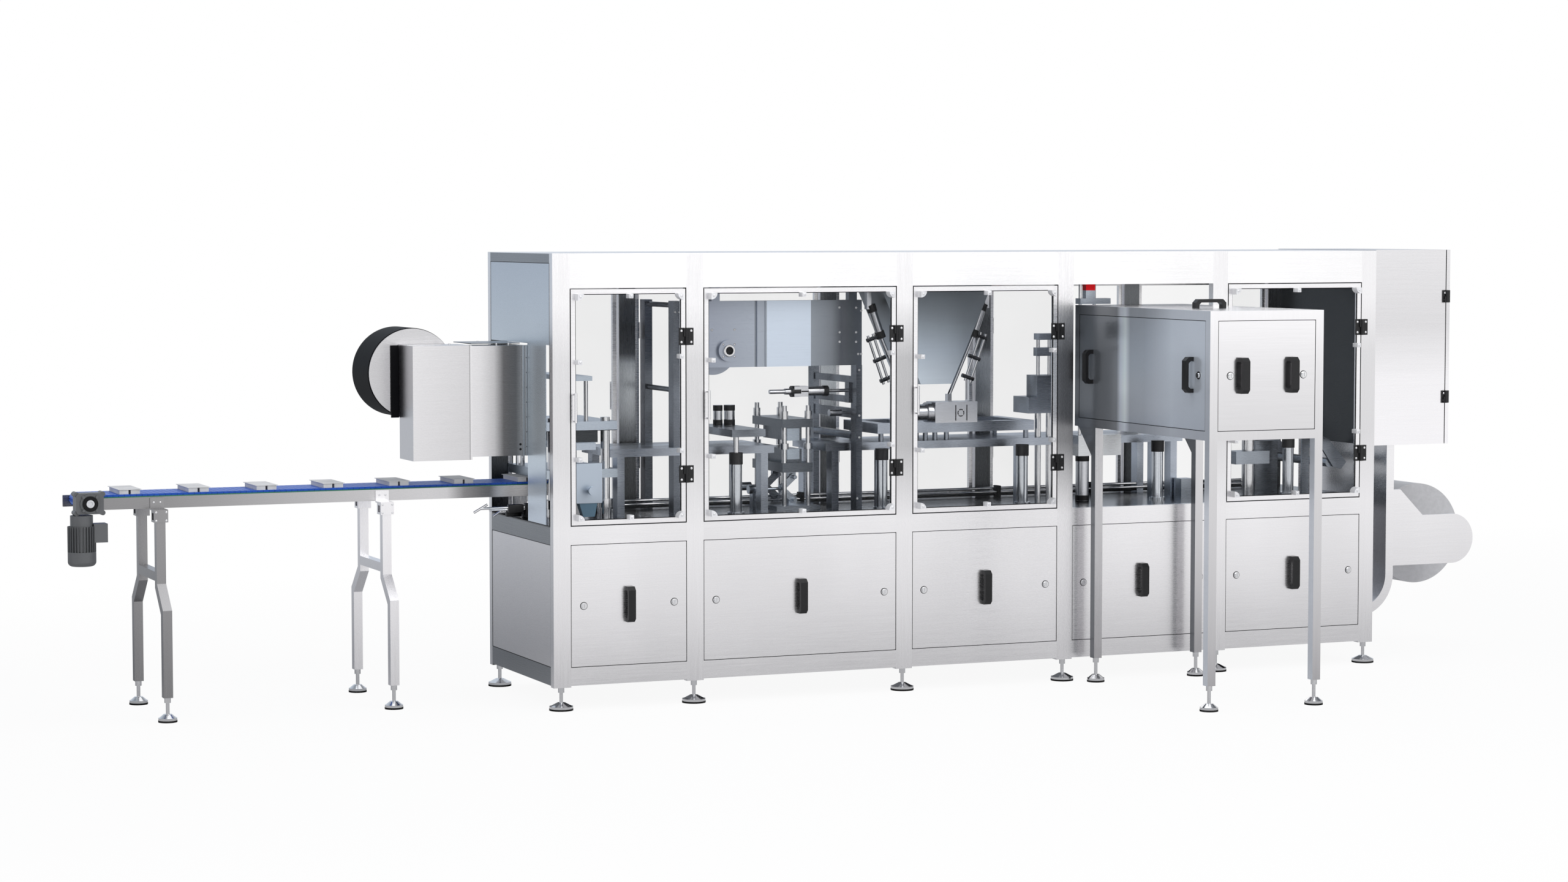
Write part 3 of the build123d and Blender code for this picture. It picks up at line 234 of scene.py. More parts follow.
class Graph:
    """A node tree under construction."""

    def __init__(self, tree):
        self.tree = tree

    def node(self, kind, settings=None, inputs=None, output=0):
        """Any shader node: its settings first, then its sockets' values or links."""
        made = self.tree.nodes.new(kind)
        for key, value in (settings or {}).items():
            if key == "stops":
                ramp = made.color_ramp.elements
                while len(ramp) < len(value):
                    ramp.new(0.5)
                for stop, (place, colour) in zip(ramp, value):
                    stop.position = place
                    stop.color = (*colour, 1.0)
            else:
                setattr(made, key, value)
        for key, value in (inputs or {}).items():
            self.feed(made.inputs[key], value)
        return Signal(self, made.outputs[output])

    def feed(self, socket, value):
        """Link a signal to a socket or write a constant on it."""
        if isinstance(value, Signal):
            self.tree.links.new(value.socket, socket)
        elif isinstance(value, bpy.types.NodeSocket):
            self.tree.links.new(value, socket)
        elif isinstance(value, (tuple, list)) and len(value) == 3 and socket.type == "RGBA":
            socket.default_value = (*value, 1.0)
        else:
            socket.default_value = value

    def math(self, kind, *values):
        """A Math node of one operation."""
        return self.node("ShaderNodeMath", {"operation": kind}, dict(enumerate(values)))

    def ramp(self, signal, low, high):
        """A signal stretched from the span low..high to 0..1."""
        return self.node(
            "ShaderNodeMapRange",
            {},
            {"Value": signal, "From Min": low, "From Max": high},
        )

    def stops(self, signal, *stops):
        """A colour ramp."""
        return self.node("ShaderNodeValToRGB", {"stops": stops}, {0: signal})

    def mix(self, factor, first, second, blend="MIX"):
        """Blend of two colours."""
        return self.node(
            "ShaderNodeMix",
            {"data_type": "RGBA", "blend_type": blend},
            {"Factor": factor, 6: first, 7: second},
            output=2,
        )

    def coordinate(self, axis, output="Object"):
        """One part of the object coordinates, in metres, or of another output such as the normal."""
        spot = self.node("ShaderNodeTexCoord", output=output)
        return self.node("ShaderNodeSeparateXYZ", {}, {0: spot}, output=axis)


class Finish(Graph):
    """A node material under construction."""

    def __init__(self, name):
        self.material = bpy.data.materials.new(name)
        self.material.use_nodes = True
        super().__init__(self.material.node_tree)
        self.shader = self.tree.nodes["Principled BSDF"]

    def set(self, **values):
        """Write the shader's sockets by name, with underscores for blanks."""
        for key, value in values.items():
            self.feed(self.shader.inputs[key.replace("_", " ")], value)
        return self

    def place(self, scale):
        """Object coordinates, stretched by a scale."""
        spot = self.node("ShaderNodeTexCoord", output="Object")
        return self.node("ShaderNodeMapping", {}, {"Vector": spot, "Scale": scale})

    def noise(self, scale, stretch=(1.0, 1.0, 1.0), detail=3.0, rough=0.5):
        """Noise on stretched object coordinates."""
        return self.node(
            "ShaderNodeTexNoise",
            {},
            {"Vector": self.place(stretch), "Scale": scale, "Detail": detail, "Roughness": rough},
        )

    def bump(self, signal, strength, distance):
        """Normal from a height signal."""
        return self.node(
            "ShaderNodeBump",
            {},
            {"Height": signal, "Strength": strength, "Distance": distance},
        )

    def within(self, low, high):
        """1 inside a box between two places on the line, in line millimetres, and 0 outside."""
        low = at(*low)
        high = at(*high)
        inside = 1.0
        for axis in range(3):
            spot = self.coordinate(axis)
            inside = (spot > low[axis]) * (spot < high[axis]) * inside
        return inside


def shade(colour, factor):
    """A colour made lighter or darker."""
    return tuple(min(1.0, part * factor) for part in colour)


BRUSH = {"X": (0.5, 26.0, 26.0), "Z": (26.0, 26.0, 0.5), "Y": (26.0, 0.5, 26.0)}
FINE_BRUSH = {"X": (1.0, 70.0, 70.0), "Z": (70.0, 70.0, 1.0), "Y": (70.0, 1.0, 70.0)}


def brushed(finish, colour, along, gloss, depth=0.03):
    """Base colour, roughness and normal of a brushed face: streaks, fine lines and clouding."""
    streaks = finish.noise(8.0, BRUSH[along], 4.0, 0.65)
    lines = finish.noise(40.0, FINE_BRUSH[along], 2.0, 0.6)
    cloud = finish.noise(1.6, (1.0, 1.0, 0.5), 2.0, 0.5)
    if not isinstance(colour, Signal):
        colour = finish.mix(finish.ramp(cloud, 0.35, 0.68), shade(colour, 0.96), shade(colour, 1.04))
    tone = 1.0 - depth * finish.ramp(streaks, 0.68, 0.36) - 0.5 * depth * finish.ramp(lines, 0.7, 0.3)
    finish.set(
        Base_Color=finish.mix(1.0, colour, tone, "MULTIPLY"),
        Metallic=1.0,
        Roughness=gloss + 0.12 * finish.ramp(lines, 0.25, 0.75) + 0.05 * finish.ramp(streaks, 0.3, 0.7),
        Normal=finish.bump(lines, 0.05, 0.0004),
    )
    return finish


def sheet_steel(name, colour, along="X", gloss=0.17, depth=0.035):
    """Brushed stainless sheet or tube."""
    return brushed(Finish(name), colour, along, gloss, depth).material


def painted_light_steel(name, axis, low, high, stops, along="X", gloss=0.2):
    """Brushed steel whose tone follows a colour ramp along one axis, between two places; the ramp paints
    light, shade and reflections into the colour.
    """
    finish = Finish(name)
    # Painted light: the ramp's stops are light, shade and reflections, not the steel's colour
    tone = finish.stops(finish.ramp(finish.coordinate(axis), low, high), *stops)
    return brushed(finish, tone, along, gloss).material


def tones(tint, *levels):
    """Ramp stops of one tint, from pairs of a place and a level."""
    return tuple((place, shade(tint, level)) for place, level in levels)


def end_sheet(name, cool, inner):
    """End panels: cool steel, with painted light that is neutral low down, lighter towards the deck and
    darker at the top outside, and painted shade, near black, on the faces inside.
    """
    finish = Finish(name)
    right = finish.coordinate(X) > line_x(2100)
    facing = finish.coordinate(X, "Normal")
    # Painted shade: the faces that look into the machine are near black
    inside = right * (facing < -0.5) + (1.0 - right) * (facing > 0.5)
    # Painted light: grading with height
    tone = finish.stops(
        finish.ramp(finish.coordinate(Z), 0.15, 1.95),
        *tones(NEUTRAL, (0.00, 0.66), (0.30, 0.84), (0.35, 0.88)),
        *tones(cool, (0.37, 1.12), (0.60, 1.18), (1.00, 0.82)),
    )
    brushed(finish, finish.mix(inside, tone, inner), "X", 0.2)
    return finish.set(Metallic=0.8).material


def post_steel(name, colour, cabinet):
    """Frame tubes: bright, with a painted dark reflection of the cabinet and the room as a band at half
    height.
    """
    finish = Finish(name)
    height = finish.coordinate(Z)
    # Painted reflection: a dark band at half height, deeper towards the cabinet
    band = finish.ramp(height, 0.78, 1.12) * (1.0 - finish.ramp(height, 1.52, 1.78))
    along = finish.ramp(finish.coordinate(X), line_x(0), cabinet)
    near = finish.coordinate(X) < cabinet
    share = band * (0.20 + 0.62 * near * along * along)
    tone = finish.mix(share, colour, (0.10, 0.105, 0.115))
    return brushed(finish, tone, "Z", 0.17, 0.035).material


def side_lit(name, tint, along="X"):
    """Polished cabinet steel with painted light: front faces graded lighter with height, left faces with
    painted reflections in light and dark bands along their depth.
    """
    finish = Finish(name)
    left = finish.coordinate(X, "Normal") < -0.5
    # Painted light: front faces lighter towards the top
    front = finish.stops(
        finish.ramp(finish.coordinate(Z), 0.2, 1.75),
        *tones(NEUTRAL, (0.00, 0.60), (0.60, 0.70), (0.80, 0.80), (1.00, 0.96)),
    )
    # Painted reflections: light and dark bands across the left faces
    side = finish.stops(
        finish.ramp(finish.coordinate(Y), at(0, -1139, 0).y, at(0, -25, 0).y),
        *tones(tint, (0.00, 0.92), (0.30, 1.05), (0.52, 0.66), (0.64, 0.60)),
        *tones(tint, (0.68, 1.15), (0.72, 0.90), (0.75, 0.30), (1.00, 0.24)),
    )
    brushed(finish, finish.mix(left, front, side), along, 0.1)
    return finish.set(Metallic=1.0 - 0.45 * left).material


def inner_steel(name, colour, tint, inner_face):
    """Tube that is bright outside, with a painted dark reflection of the room, banded by height, on its
    inner side under a depth.
    """
    finish = Finish(name)
    inside = finish.coordinate(Y) < inner_face
    # Painted reflection and shade: dark bands by height on the faces towards the inside
    dark = finish.stops(
        finish.ramp(finish.coordinate(Z), 0.80, 1.95),
        *tones(tint, (0.00, 0.09), (0.27, 0.10), (0.33, 0.20), (0.39, 0.40), (0.50, 0.58)),
        *tones(tint, (0.59, 0.54), (0.63, 0.13), (0.74, 0.10), (0.87, 0.25), (1.00, 0.30)),
    )
    return brushed(finish, finish.mix(inside, colour, dark), "Z", 0.2).material


def machined(name, colour, low=0.5, high=1.7, parts=()):
    """Ground aluminium plates: light and dark bands, with parts of other colours by place."""
    finish = Finish(name)
    band = finish.noise(3.2, (1.0, 1.6, 0.8), 2.0, 0.55)
    tone = finish.mix(finish.ramp(band, 0.36, 0.66), shade(colour, low), shade(colour, high))
    for start, end, other in parts:
        tone = finish.mix(finish.within(start, end), tone, other)
    return brushed(finish, tone, "X", 0.2).material


def capped_column(name, colour, edge):
    """Ground steel column under a black sleeve that starts at a height."""
    finish = Finish(name)
    cap = finish.coordinate(Z) > edge
    grain = finish.noise(500.0, detail=2.0)
    rings = finish.noise(60.0, (1.0, 1.0, 14.0), 2.0, 0.6)
    steel = finish.mix(finish.ramp(rings, 0.3, 0.7), shade(colour, 0.9), shade(colour, 1.06))
    finish.set(
        Base_Color=finish.mix(cap, steel, (0.011, 0.011, 0.012)),
        Metallic=1.0 - cap,
        Roughness=0.12 + 0.34 * cap + 0.08 * rings,
        Normal=finish.bump(grain, 0.05, 0.0003),
    )
    return finish.material


def chute_finish(name, steel, enamel_colour, edge):
    """Steel scrap box over an enamelled funnel."""
    finish = Finish(name)
    upper = finish.coordinate(Z) > edge
    peel = finish.noise(220.0, detail=2.0)
    cloud = finish.noise(6.0, detail=2.0)
    finish.set(
        Base_Color=finish.mix(upper, enamel_colour, steel),
        Metallic=0.15 + 0.7 * upper,
        Roughness=0.34 + 0.1 * cloud,
        Normal=finish.bump(peel, 0.06, 0.0004),
    )
    return finish.material


def turned_steel(name, colour, gloss=0.10, metal=1.0):
    """Ground and turned bright steel with faint rings."""
    finish = Finish(name)
    rings = finish.noise(60.0, (1.0, 1.0, 14.0), 2.0, 0.6)
    finish.set(
        Base_Color=finish.mix(finish.ramp(rings, 0.3, 0.7), shade(colour, 0.9), shade(colour, 1.06)),
        Metallic=metal,
        Roughness=gloss + 0.10 * rings,
        Normal=finish.bump(rings, 0.04, 0.0004),
    )
    return finish.material


def moulded(name, colour, gloss=0.42, grain=900.0, strength=0.10, shine=0.5):
    """Moulded plastic with a fine grain."""
    finish = Finish(name)
    grains = finish.noise(grain, detail=2.0)
    cloud = finish.noise(9.0, detail=2.0)
    finish.set(
        Base_Color=finish.mix(finish.ramp(cloud, 0.3, 0.7), shade(colour, 0.88), shade(colour, 1.1)),
        Roughness=gloss + 0.12 * cloud,
        Specular_IOR_Level=shine,
        Normal=finish.bump(grains, strength, 0.0004),
    )
    return finish.material


def enamel(name, colour):
    """Sprayed machine enamel with a faint orange-peel."""
    finish = Finish(name)
    peel = finish.noise(220.0, detail=2.0)
    cloud = finish.noise(6.0, detail=2.0)
    finish.set(
        Base_Color=finish.mix(finish.ramp(cloud, 0.3, 0.7), shade(colour, 0.9), shade(colour, 1.08)),
        Metallic=0.25,
        Roughness=0.34 + 0.1 * cloud,
        Normal=finish.bump(peel, 0.08, 0.0005),
    )
    return finish.material


def clear_sheet(name):
    """Clear polycarbonate pane: see-through, with a faint grey cast and gloss."""
    finish = Finish(name)
    haze = finish.noise(2.4, detail=2.0)
    finish.set(
        Base_Color=(0.10, 0.105, 0.11),
        Roughness=0.05,
        Specular_IOR_Level=0.3,
        Alpha=0.042 + 0.012 * finish.ramp(haze, 0.3, 0.7),
    )
    finish.material.surface_render_method = "BLENDED"
    return finish.material


def modular_belt(name, colour):
    """Moulded belt links with small drain holes in rows."""
    finish = Finish(name)
    pitch = 0.0127
    cell = finish.node(
        "ShaderNodeTexVoronoi",
        {"feature": "F1"},
        {"Vector": finish.place((1.0, 1.0, 0.0)), "Scale": 1.0 / pitch, "Randomness": 0.0},
    )
    hole = cell < 0.25
    cloud = finish.noise(30.0, detail=2.0)
    base = finish.mix(hole, colour, (0.30, 0.42, 0.75))
    finish.set(
        Base_Color=finish.mix(finish.ramp(cloud, 0.4, 0.9) * 0.3, base, shade(colour, 1.6)),
        Roughness=0.38 + 0.2 * hole,
        Specular_IOR_Level=0.25,
        Normal=finish.bump(1.0 - hole, 0.5, 0.001),
    )
    return finish.material


def wound_film(name, colour, gloss=0.25, shine=0.5):
    """Film wound on a roll: fine turns that show on the roll's ends."""
    finish = Finish(name)
    turns = finish.noise(40.0, (1.0, 12.0, 1.0), 3.0, 0.6)
    finish.set(
        Base_Color=finish.mix(finish.ramp(turns, 0.35, 0.65), shade(colour, 0.94), shade(colour, 1.04)),
        Roughness=gloss + 0.15 * turns,
        Specular_IOR_Level=shine,
        Normal=finish.bump(turns, 0.05, 0.0006),
    )
    return finish.material


# Parts of the press units that have a colour of their own: two corners in line millimetres, colour
PRESS_PARTS = (
    # Bay 4: pale block on the stamping cylinder
    ((2760, 330, 1015), (3010, 410, 1130), (0.72, 0.74, 0.76)),
    # Bay 1: bluish head plates with a dark joint, lower plate and top plate
    ((70, 330, 1110), (430, 860, 1250), (0.50, 0.56, 0.64)),
    ((70, 330, 1150), (430, 860, 1206), (0.05, 0.055, 0.06)),
    ((70, 330, 980), (430, 860, 1040), (0.48, 0.54, 0.61)),
    ((180, 350, 1420), (320, 830, 1450), (0.48, 0.54, 0.61)),
    # Bay 2: dark slide body with a light rail on its front
    ((1275, 450, 970), (1440, 830, 1230), (0.13, 0.145, 0.165)),
    ((1316, 490, 1036), (1384, 505, 1180), (0.45, 0.51, 0.58)),
    # Bay 4: red cap above the cabinet
    ((2800, 330, 1812), (2862, 410, 1900), (0.62, 0.015, 0.02)),
)


def make_finishes(colours):
    """Every finish of the line, by the name of the record's slot or of the piece group."""
    steel = tuple(colours.steel)
    plate = tuple(colours.machined)
    return {
        "brushed": sheet_steel("brushed_sheet", steel, "X"),
        # Posts: bright steel with a painted dark reflection band
        "post": post_steel("post_tube", steel, line_x(2620)),
        "bright": sheet_steel("bright_sheet", (0.94, 0.935, 0.945), "X", 0.2, 0.02),
        # Painted light: covers lighter low down and darker higher up
        "cover": painted_light_steel(
            "cover_sheet", Z, 1.1, 2.0, tones(NEUTRAL, (0.0, 0.96), (0.3, 0.92), (0.6, 0.73), (1.0, 0.78))
        ),
        # Cabinet sheet and tubes: painted light and painted reflections
        "mirror": side_lit("cabinet_sheet", (0.80, 0.86, 0.94)),
        "mirror_tube": side_lit("cabinet_tube", (0.76, 0.80, 0.86), "Z"),
        "disc": sheet_steel("disc_sheet", (0.62, 0.615, 0.63), "X"),
        "dark": sheet_steel("dark_sheet", (0.10, 0.105, 0.115), "X", 0.12),
        "rails": sheet_steel("inner_rail", (0.30, 0.315, 0.335), "Y", 0.2),
        # End panels: painted light outside, painted shade inside
        "end": end_sheet("end_sheet", tuple(colours.cool_steel), (0.035, 0.04, 0.046)),
        # Back tubes: painted dark reflection on their inner side
        "back_tube": inner_steel("back_tube", steel, (0.90, 0.95, 1.0), at(0, 858, 0).y),
        # Painted light: hopper light and bluish low down, painted shade darkening towards its top
        "hopper": painted_light_steel(
            "hopper_sheet",
            Z,
            1.40,
            1.85,
            (
                (0.00, (0.82, 0.90, 0.98)),
                (0.30, (0.58, 0.65, 0.73)),
                (0.62, (0.34, 0.38, 0.42)),
                (1.00, (0.15, 0.165, 0.18)),
            ),
            gloss=0.26,
        ),
        # Painted light: a painted shade line at the front box's edge and painted dark reflections towards
        # the right end
        "unwinder": painted_light_steel(
            "unwinder_sheet",
            X,
            line_x(-540),
            line_x(0),
            (
                *tones(NEUTRAL, (0.000, 0.76), (0.476, 0.66), (0.480, 0.22), (0.486, 0.78)),
                *tones(NEUTRAL, (0.600, 0.74), (0.713, 0.58), (0.794, 0.17), (0.900, 0.14)),
                *tones(NEUTRAL, (0.939, 0.24), (0.954, 0.34), (1.000, 0.36)),
            ),
        ),
        # Painted light: conveyor steel shaded at its left end and in a band near the machine, lighter
        # between
        "conveyor": painted_light_steel(
            "conveyor_sheet",
            X,
            line_x(-2000),
            line_x(0),
            (
                *tones(NEUTRAL, (0.00, 0.30), (0.20, 0.32), (0.80, 0.68), (0.84, 0.66)),
                *tones(NEUTRAL, (0.88, 0.28), (0.94, 0.17), (0.96, 0.42), (1.00, 0.50)),
            ),
        ),
        # Painted light: legs shaded at the left end and lighter towards the machine
        "legs": painted_light_steel(
            "leg_tube",
            X,
            line_x(-2000),
            line_x(0),
            tones(NEUTRAL, (0.00, 0.30), (0.30, 0.36), (0.55, 0.92), (1.00, 0.95)),
            along="Z",
        ),
        "polished": turned_steel("ground_steel", (0.80, 0.805, 0.82)),
        "black": moulded("black_polyamide", (0.009, 0.009, 0.010), 0.36, shine=0.35),
        "rubber": moulded("foot_rubber", (0.010, 0.010, 0.010), 0.7, 400.0, 0.2, 0.2),
        "clear": clear_sheet("clear_pane"),
        "white": moulded("white_tray", (0.70, 0.70, 0.70), 0.45),
        "clip": moulded("clear_clip", (0.86, 0.86, 0.87), 0.35),
        "screw": turned_steel("screw_steel", (0.90, 0.90, 0.91), 0.24, 0.55),
        "belt": modular_belt("blue_belt", tuple(colours.belt)),
        "green": moulded("green_strip", (0.025, 0.17, 0.10), 0.45),
        "grey": enamel("drive_enamel", (0.13, 0.135, 0.14)),
        "teal": chute_finish("chute_finish", (0.58, 0.66, 0.76), tuple(colours.funnel), 0.882),
        "film": wound_film("pale_film", (0.64, 0.64, 0.65), shine=0.3),
        "black_film": wound_film("dark_film", (0.006, 0.006, 0.007), 0.40, 0.04),
        "alu": machined("machined_plate", plate),
        "table": machined("table_plate", (0.34, 0.37, 0.42), 0.6, 1.5),
        "tube": machined("frame_plate", (0.15, 0.165, 0.19), 0.6, 1.5),
        "presses": machined("press_plate", plate, parts=PRESS_PARTS),
        "column": capped_column("guide_column", (0.66, 0.69, 0.73), 1.037),
        # Painted light: painted shade lines, a painted bright bluish reflection band and darker shade
        # along the housing
        "housing": painted_light_steel(
            "reel_housing",
            X,
            line_x(800),
            line_x(1600),
            (
                (0.00, (0.34, 0.37, 0.44)),
                (0.325, (0.42, 0.46, 0.53)),
                (0.33, (0.10, 0.11, 0.12)),
                (0.335, (0.42, 0.46, 0.53)),
                (0.388, (0.40, 0.44, 0.50)),
                (0.390, (0.12, 0.13, 0.14)),
                (0.395, (0.66, 0.74, 0.85)),
                (0.668, (0.66, 0.74, 0.85)),
                (0.672, (0.30, 0.33, 0.37)),
                (0.80, (0.22, 0.24, 0.27)),
                (0.86, (0.12, 0.13, 0.15)),
                (1.00, (0.27, 0.30, 0.34)),
            ),
            gloss=0.24,
        ),
        "seal": moulded("dark_seal", (0.008, 0.008, 0.009), 0.6, shine=0.2),
        "hub": turned_steel("hub_steel", (0.66, 0.67, 0.70), 0.2),
    }


# Mesh helpers


def block(mesh, low, high, round_edge=0.0):
    """Box between two corners, with its edges bevelled if a radius is given."""
    low = Vector(low)
    high = Vector(high)
    made = bmesh.ops.create_cube(mesh, size=1.0)["verts"]
    bmesh.ops.scale(mesh, vec=high - low, verts=made)
    bmesh.ops.translate(mesh, vec=(low + high) / 2, verts=made)
    if round_edge:
        edges = list({edge for vert in made for edge in vert.link_edges})
        bmesh.ops.bevel(
            mesh,
            geom=edges,
            offset=round_edge,
            affect="EDGES",
            segments=2,
            profile=0.5,
            material=-1,
        )
    return made


def aim(normal):
    """Turn that takes local +Z to a direction."""
    return Vector((0, 0, 1)).rotation_difference(Vector(normal)).to_matrix().to_4x4()


def rod(mesh, start, end, radius, sides):
    """Round bar from one point to another."""
    start = Vector(start)
    end = Vector(end)
    place = Matrix.Translation((start + end) / 2) @ aim((end - start).normalized())
    made = bmesh.ops.create_cone(
        mesh,
        cap_ends=True,
        cap_tris=False,
        segments=sides,
        radius1=radius,
        radius2=radius,
        depth=(end - start).length,
        matrix=place,
    )
    return made["verts"]


def turned(mesh, place, normal, profile, sides):
    """Turned form: a profile of (radius, height) steps spun about a direction."""
    matrix = Matrix.Translation(Vector(place)) @ aim(normal)
    verts = [mesh.verts.new((radius, 0.0, height)) for radius, height in profile]
    edges = [mesh.edges.new(pair) for pair in zip(verts, verts[1:])]
    before = set(mesh.verts) - set(verts)
    bmesh.ops.spin(
        mesh,
        geom=verts + edges,
        cent=(0, 0, 0),
        axis=(0, 0, 1),
        angle=math.tau,
        steps=sides,
        use_merge=True,
    )
    made = [vert for vert in mesh.verts if vert not in before]
    bmesh.ops.remove_doubles(mesh, verts=made, dist=1e-6)
    made = [vert for vert in mesh.verts if vert.is_valid and vert not in before]
    faces = list({face for vert in made for face in vert.link_faces})
    bmesh.ops.recalc_face_normals(mesh, faces=faces)
    bmesh.ops.transform(mesh, matrix=matrix, verts=made)
    return made


def button_screw(mesh, place, normal, radius):
    """Domed screw head with a socket, from steps in shares of its radius and its rise."""
    rise = radius * 0.55
    steps = ((0.0, 0.45), (0.42, 0.45), (0.46, 1.0), (0.75, 0.82), (1.0, 0.25), (1.0, 0.0))
    turned(mesh, place, normal, [(radius * out, rise * up) for out, up in steps], 12)


def ring_of_bars(mesh, low, high, width, front, back, across=Y, grow=0.0):
    """Four bars inside the outline of a box, or of a larger one, in a plane across Y or X."""
    along = X + Y - across
    left, bottom = low[along] - grow, low[Z] - grow
    right, top = high[along] + grow, high[Z] + grow
    for start, foot, end, head in (
        (left, bottom, right, bottom + width),
        (left, top - width, right, top),
        (left, bottom + width, left + width, top - width),
        (right - width, bottom + width, right, top - width),
    ):
        if across == Y:
            block(mesh, (start, front, foot), (end, back, head))
        else:
            block(mesh, (front, start, foot), (back, end, head))


def circle(centre, reach, count, turn=0.0):
    """Places spaced evenly on a circle in a plane across Y, the first one turned by degrees."""
    for step in range(count):
        angle = math.radians(turn + 360 * step / count)
        yield Vector(centre) + Vector((reach * math.cos(angle), 0, reach * math.sin(angle)))


def outward(axis, side):
    """Direction along one axis, to its higher or its lower side."""
    normal = Vector((0, 0, 0))
    normal[axis] = side
    return normal


def extent(points):
    """Lowest and highest corner round a group of points."""
    points = list(points)
    return [Vector(pick(point[axis] for point in points) for axis in range(3)) for pick in (min, max)]


def islands(mesh):
    """Groups of joined vertices of a mesh."""
    left = set(mesh.verts)
    groups = []
    while left:
        seed = left.pop()
        group = {seed}
        edge = [seed]
        while edge:
            vert = edge.pop()
            for link in vert.link_edges:
                other = link.other_vert(vert)
                if other in left:
                    left.discard(other)
                    group.add(other)
                    edge.append(other)
        groups.append(group)
    return groups


def merged_copy(node):
    """Copy of a node's mesh with its loose triangles joined."""
    shape = bmesh.new()
    shape.from_mesh(frame["nodes"][node].data)
    bmesh.ops.remove_doubles(shape, verts=shape.verts[:], dist=1e-5)
    return shape


def solids(node):
    """Boxes of the separate solids of a node."""
    shape = merged_copy(node)
    boxes = [extent(vert.co for vert in group) for group in islands(shape)]
    shape.free()
    return sorted(boxes, key=lambda box: tuple(box[0]))


FINISHES = {}


def piece(name, mesh, finish, body="frame", smooth=True):
    """Turn a mesh under construction into an object that rides on a body."""
    data = bpy.data.meshes.new(name)
    mesh.to_mesh(data)
    mesh.free()
    made = bpy.data.objects.new(name, data)
    bpy.context.scene.collection.objects.link(made)
    data.materials.append(FINISHES[finish])
    if smooth:
        data.polygons.foreach_set("use_smooth", [True] * len(data.polygons))
        data.set_sharp_from_angle(angle=math.radians(35))
    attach(made, body)
    return made


SLOTS = {part["node"]: part["material_slot"] for part in frame["record"]["subparts"]}
NODE_FINISHES = {
    "front_posts": "post",
    "cabinet_frame": "mirror_tube",
    "conveyor_rails": "conveyor",
    "conveyor_legs": "legs",
    "leg_brackets": "legs",
    "unwinder_covers": "unwinder",
    "lid_reel": "disc",
    "end_panels": "end",
    "back_posts": "back_tube",
    "fascia": "bright",
    "end_cover": "cover",
    "cover_door": "cover",
    "roof": "bright",
    "cabinet_panels": "mirror",
    "deck": "dark",
    "cross_rails": "rails",
    "hopper": "hopper",
    "web_table": "table",
    "web_frames": "tube",
    "press_plates": "presses",
    "guide_columns": "column",
    "inner_unwinder": "housing",
    "punch_chute": "teal",
    "actuators": "hub",
}


# Operators, one for each group of pieces


class LINE_OT_finish_frame(bpy.types.Operator):
    """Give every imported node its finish"""

    bl_idname = "line.finish_frame"
    bl_label = "Finish Frame Pieces"

    def execute(self, context):
        FINISHES.update(make_finishes(context.scene.line_colours))
        for name, part in frame["nodes"].items():
            finish = FINISHES[NODE_FINISHES.get(name, SLOTS[name])]
            if not part.material_slots:
                part.data.materials.append(finish)
            for holder in part.material_slots:
                holder.material = finish
        return {"FINISHED"}


class LINE_OT_door_trim(bpy.types.Operator):
    """Fit seals, pane clips and their screws to the guard doors"""

    bl_idname = "line.door_trim"
    bl_label = "Fit Door Trim"

    def execute(self, context):
        sizes = context.scene.line_trim
        for door in DOORS:
            self.fit(door, sizes)
        return {"FINISHED"}

    def fit(self, door, sizes):
        """Seal, clips and screws of one door."""
        low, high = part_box(door + "_pane")
        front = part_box(door + "_frame")[0][Y] + CLIP_STEP
        face = low[Y]
        seal = bmesh.new()
        ring_of_bars(seal, low, high, sizes.seal_width, face - 0.002, face - 0.0002)
        piece(door + "_seal", seal, "seal", body=door, smooth=False)

        clips = bmesh.new()
        screws = bmesh.new()
        middle_x = (low[X] + high[X]) / 2
        middle_z = (low[Z] + high[Z]) / 2
        half = sizes.clip_side / 2
        tall = high[Z] - low[Z]
        for x, z in (
            (middle_x, low[Z] + half),
            (middle_x, high[Z] - half),
            (low[X] + half, middle_z + tall * 0.20),
            (low[X] + half, middle_z - tall * 0.23),
            (high[X] - half, middle_z + tall * 0.22),
            (high[X] - half, middle_z - tall * 0.20),
        ):
            block(clips, (x - half, front, z - half), (x + half, face, z + half), 0.0015)
            button_screw(screws, (x, front, z), FORWARD, sizes.screw_radius)
        inset = sizes.corner_radius * 0.42
        for x, side_x in ((low[X], 1), (high[X], -1)):
            for z, side_z in ((low[Z], 1), (high[Z], -1)):
                self.corner_clip(clips, (x, z), (side_x, side_z), sizes.corner_radius, front, face)
                spot = (x + side_x * inset, front, z + side_z * inset)
                button_screw(screws, spot, FORWARD, sizes.screw_radius)
        piece(door + "_clips", clips, "clip", body=door)
        piece(door + "_clip_screws", screws, "screw", body=door)

    def corner_clip(self, mesh, corner, sides, radius, front, face):
        """Quarter-round clip in one corner of the pane."""
        x, z = corner
        steps = 8
        ring = [Vector((x, face, z))]
        for step in range(steps + 1):
            angle = math.pi / 2 * step / steps
            reach = (sides[0] * radius * math.cos(angle), sides[1] * radius * math.sin(angle))
            ring.append(Vector((x + reach[0], face, z + reach[1])))
        verts = [mesh.verts.new(point) for point in ring]
        base = mesh.faces.new(verts)
        grown = bmesh.ops.extrude_face_region(mesh, geom=[base])
        top = [item for item in grown["geom"] if isinstance(item, bmesh.types.BMVert)]
        bmesh.ops.translate(mesh, vec=(0, front - face, 0), verts=top)
        faces = list({item for vert in verts + top for item in vert.link_faces})
        bmesh.ops.recalc_face_normals(mesh, faces=faces)


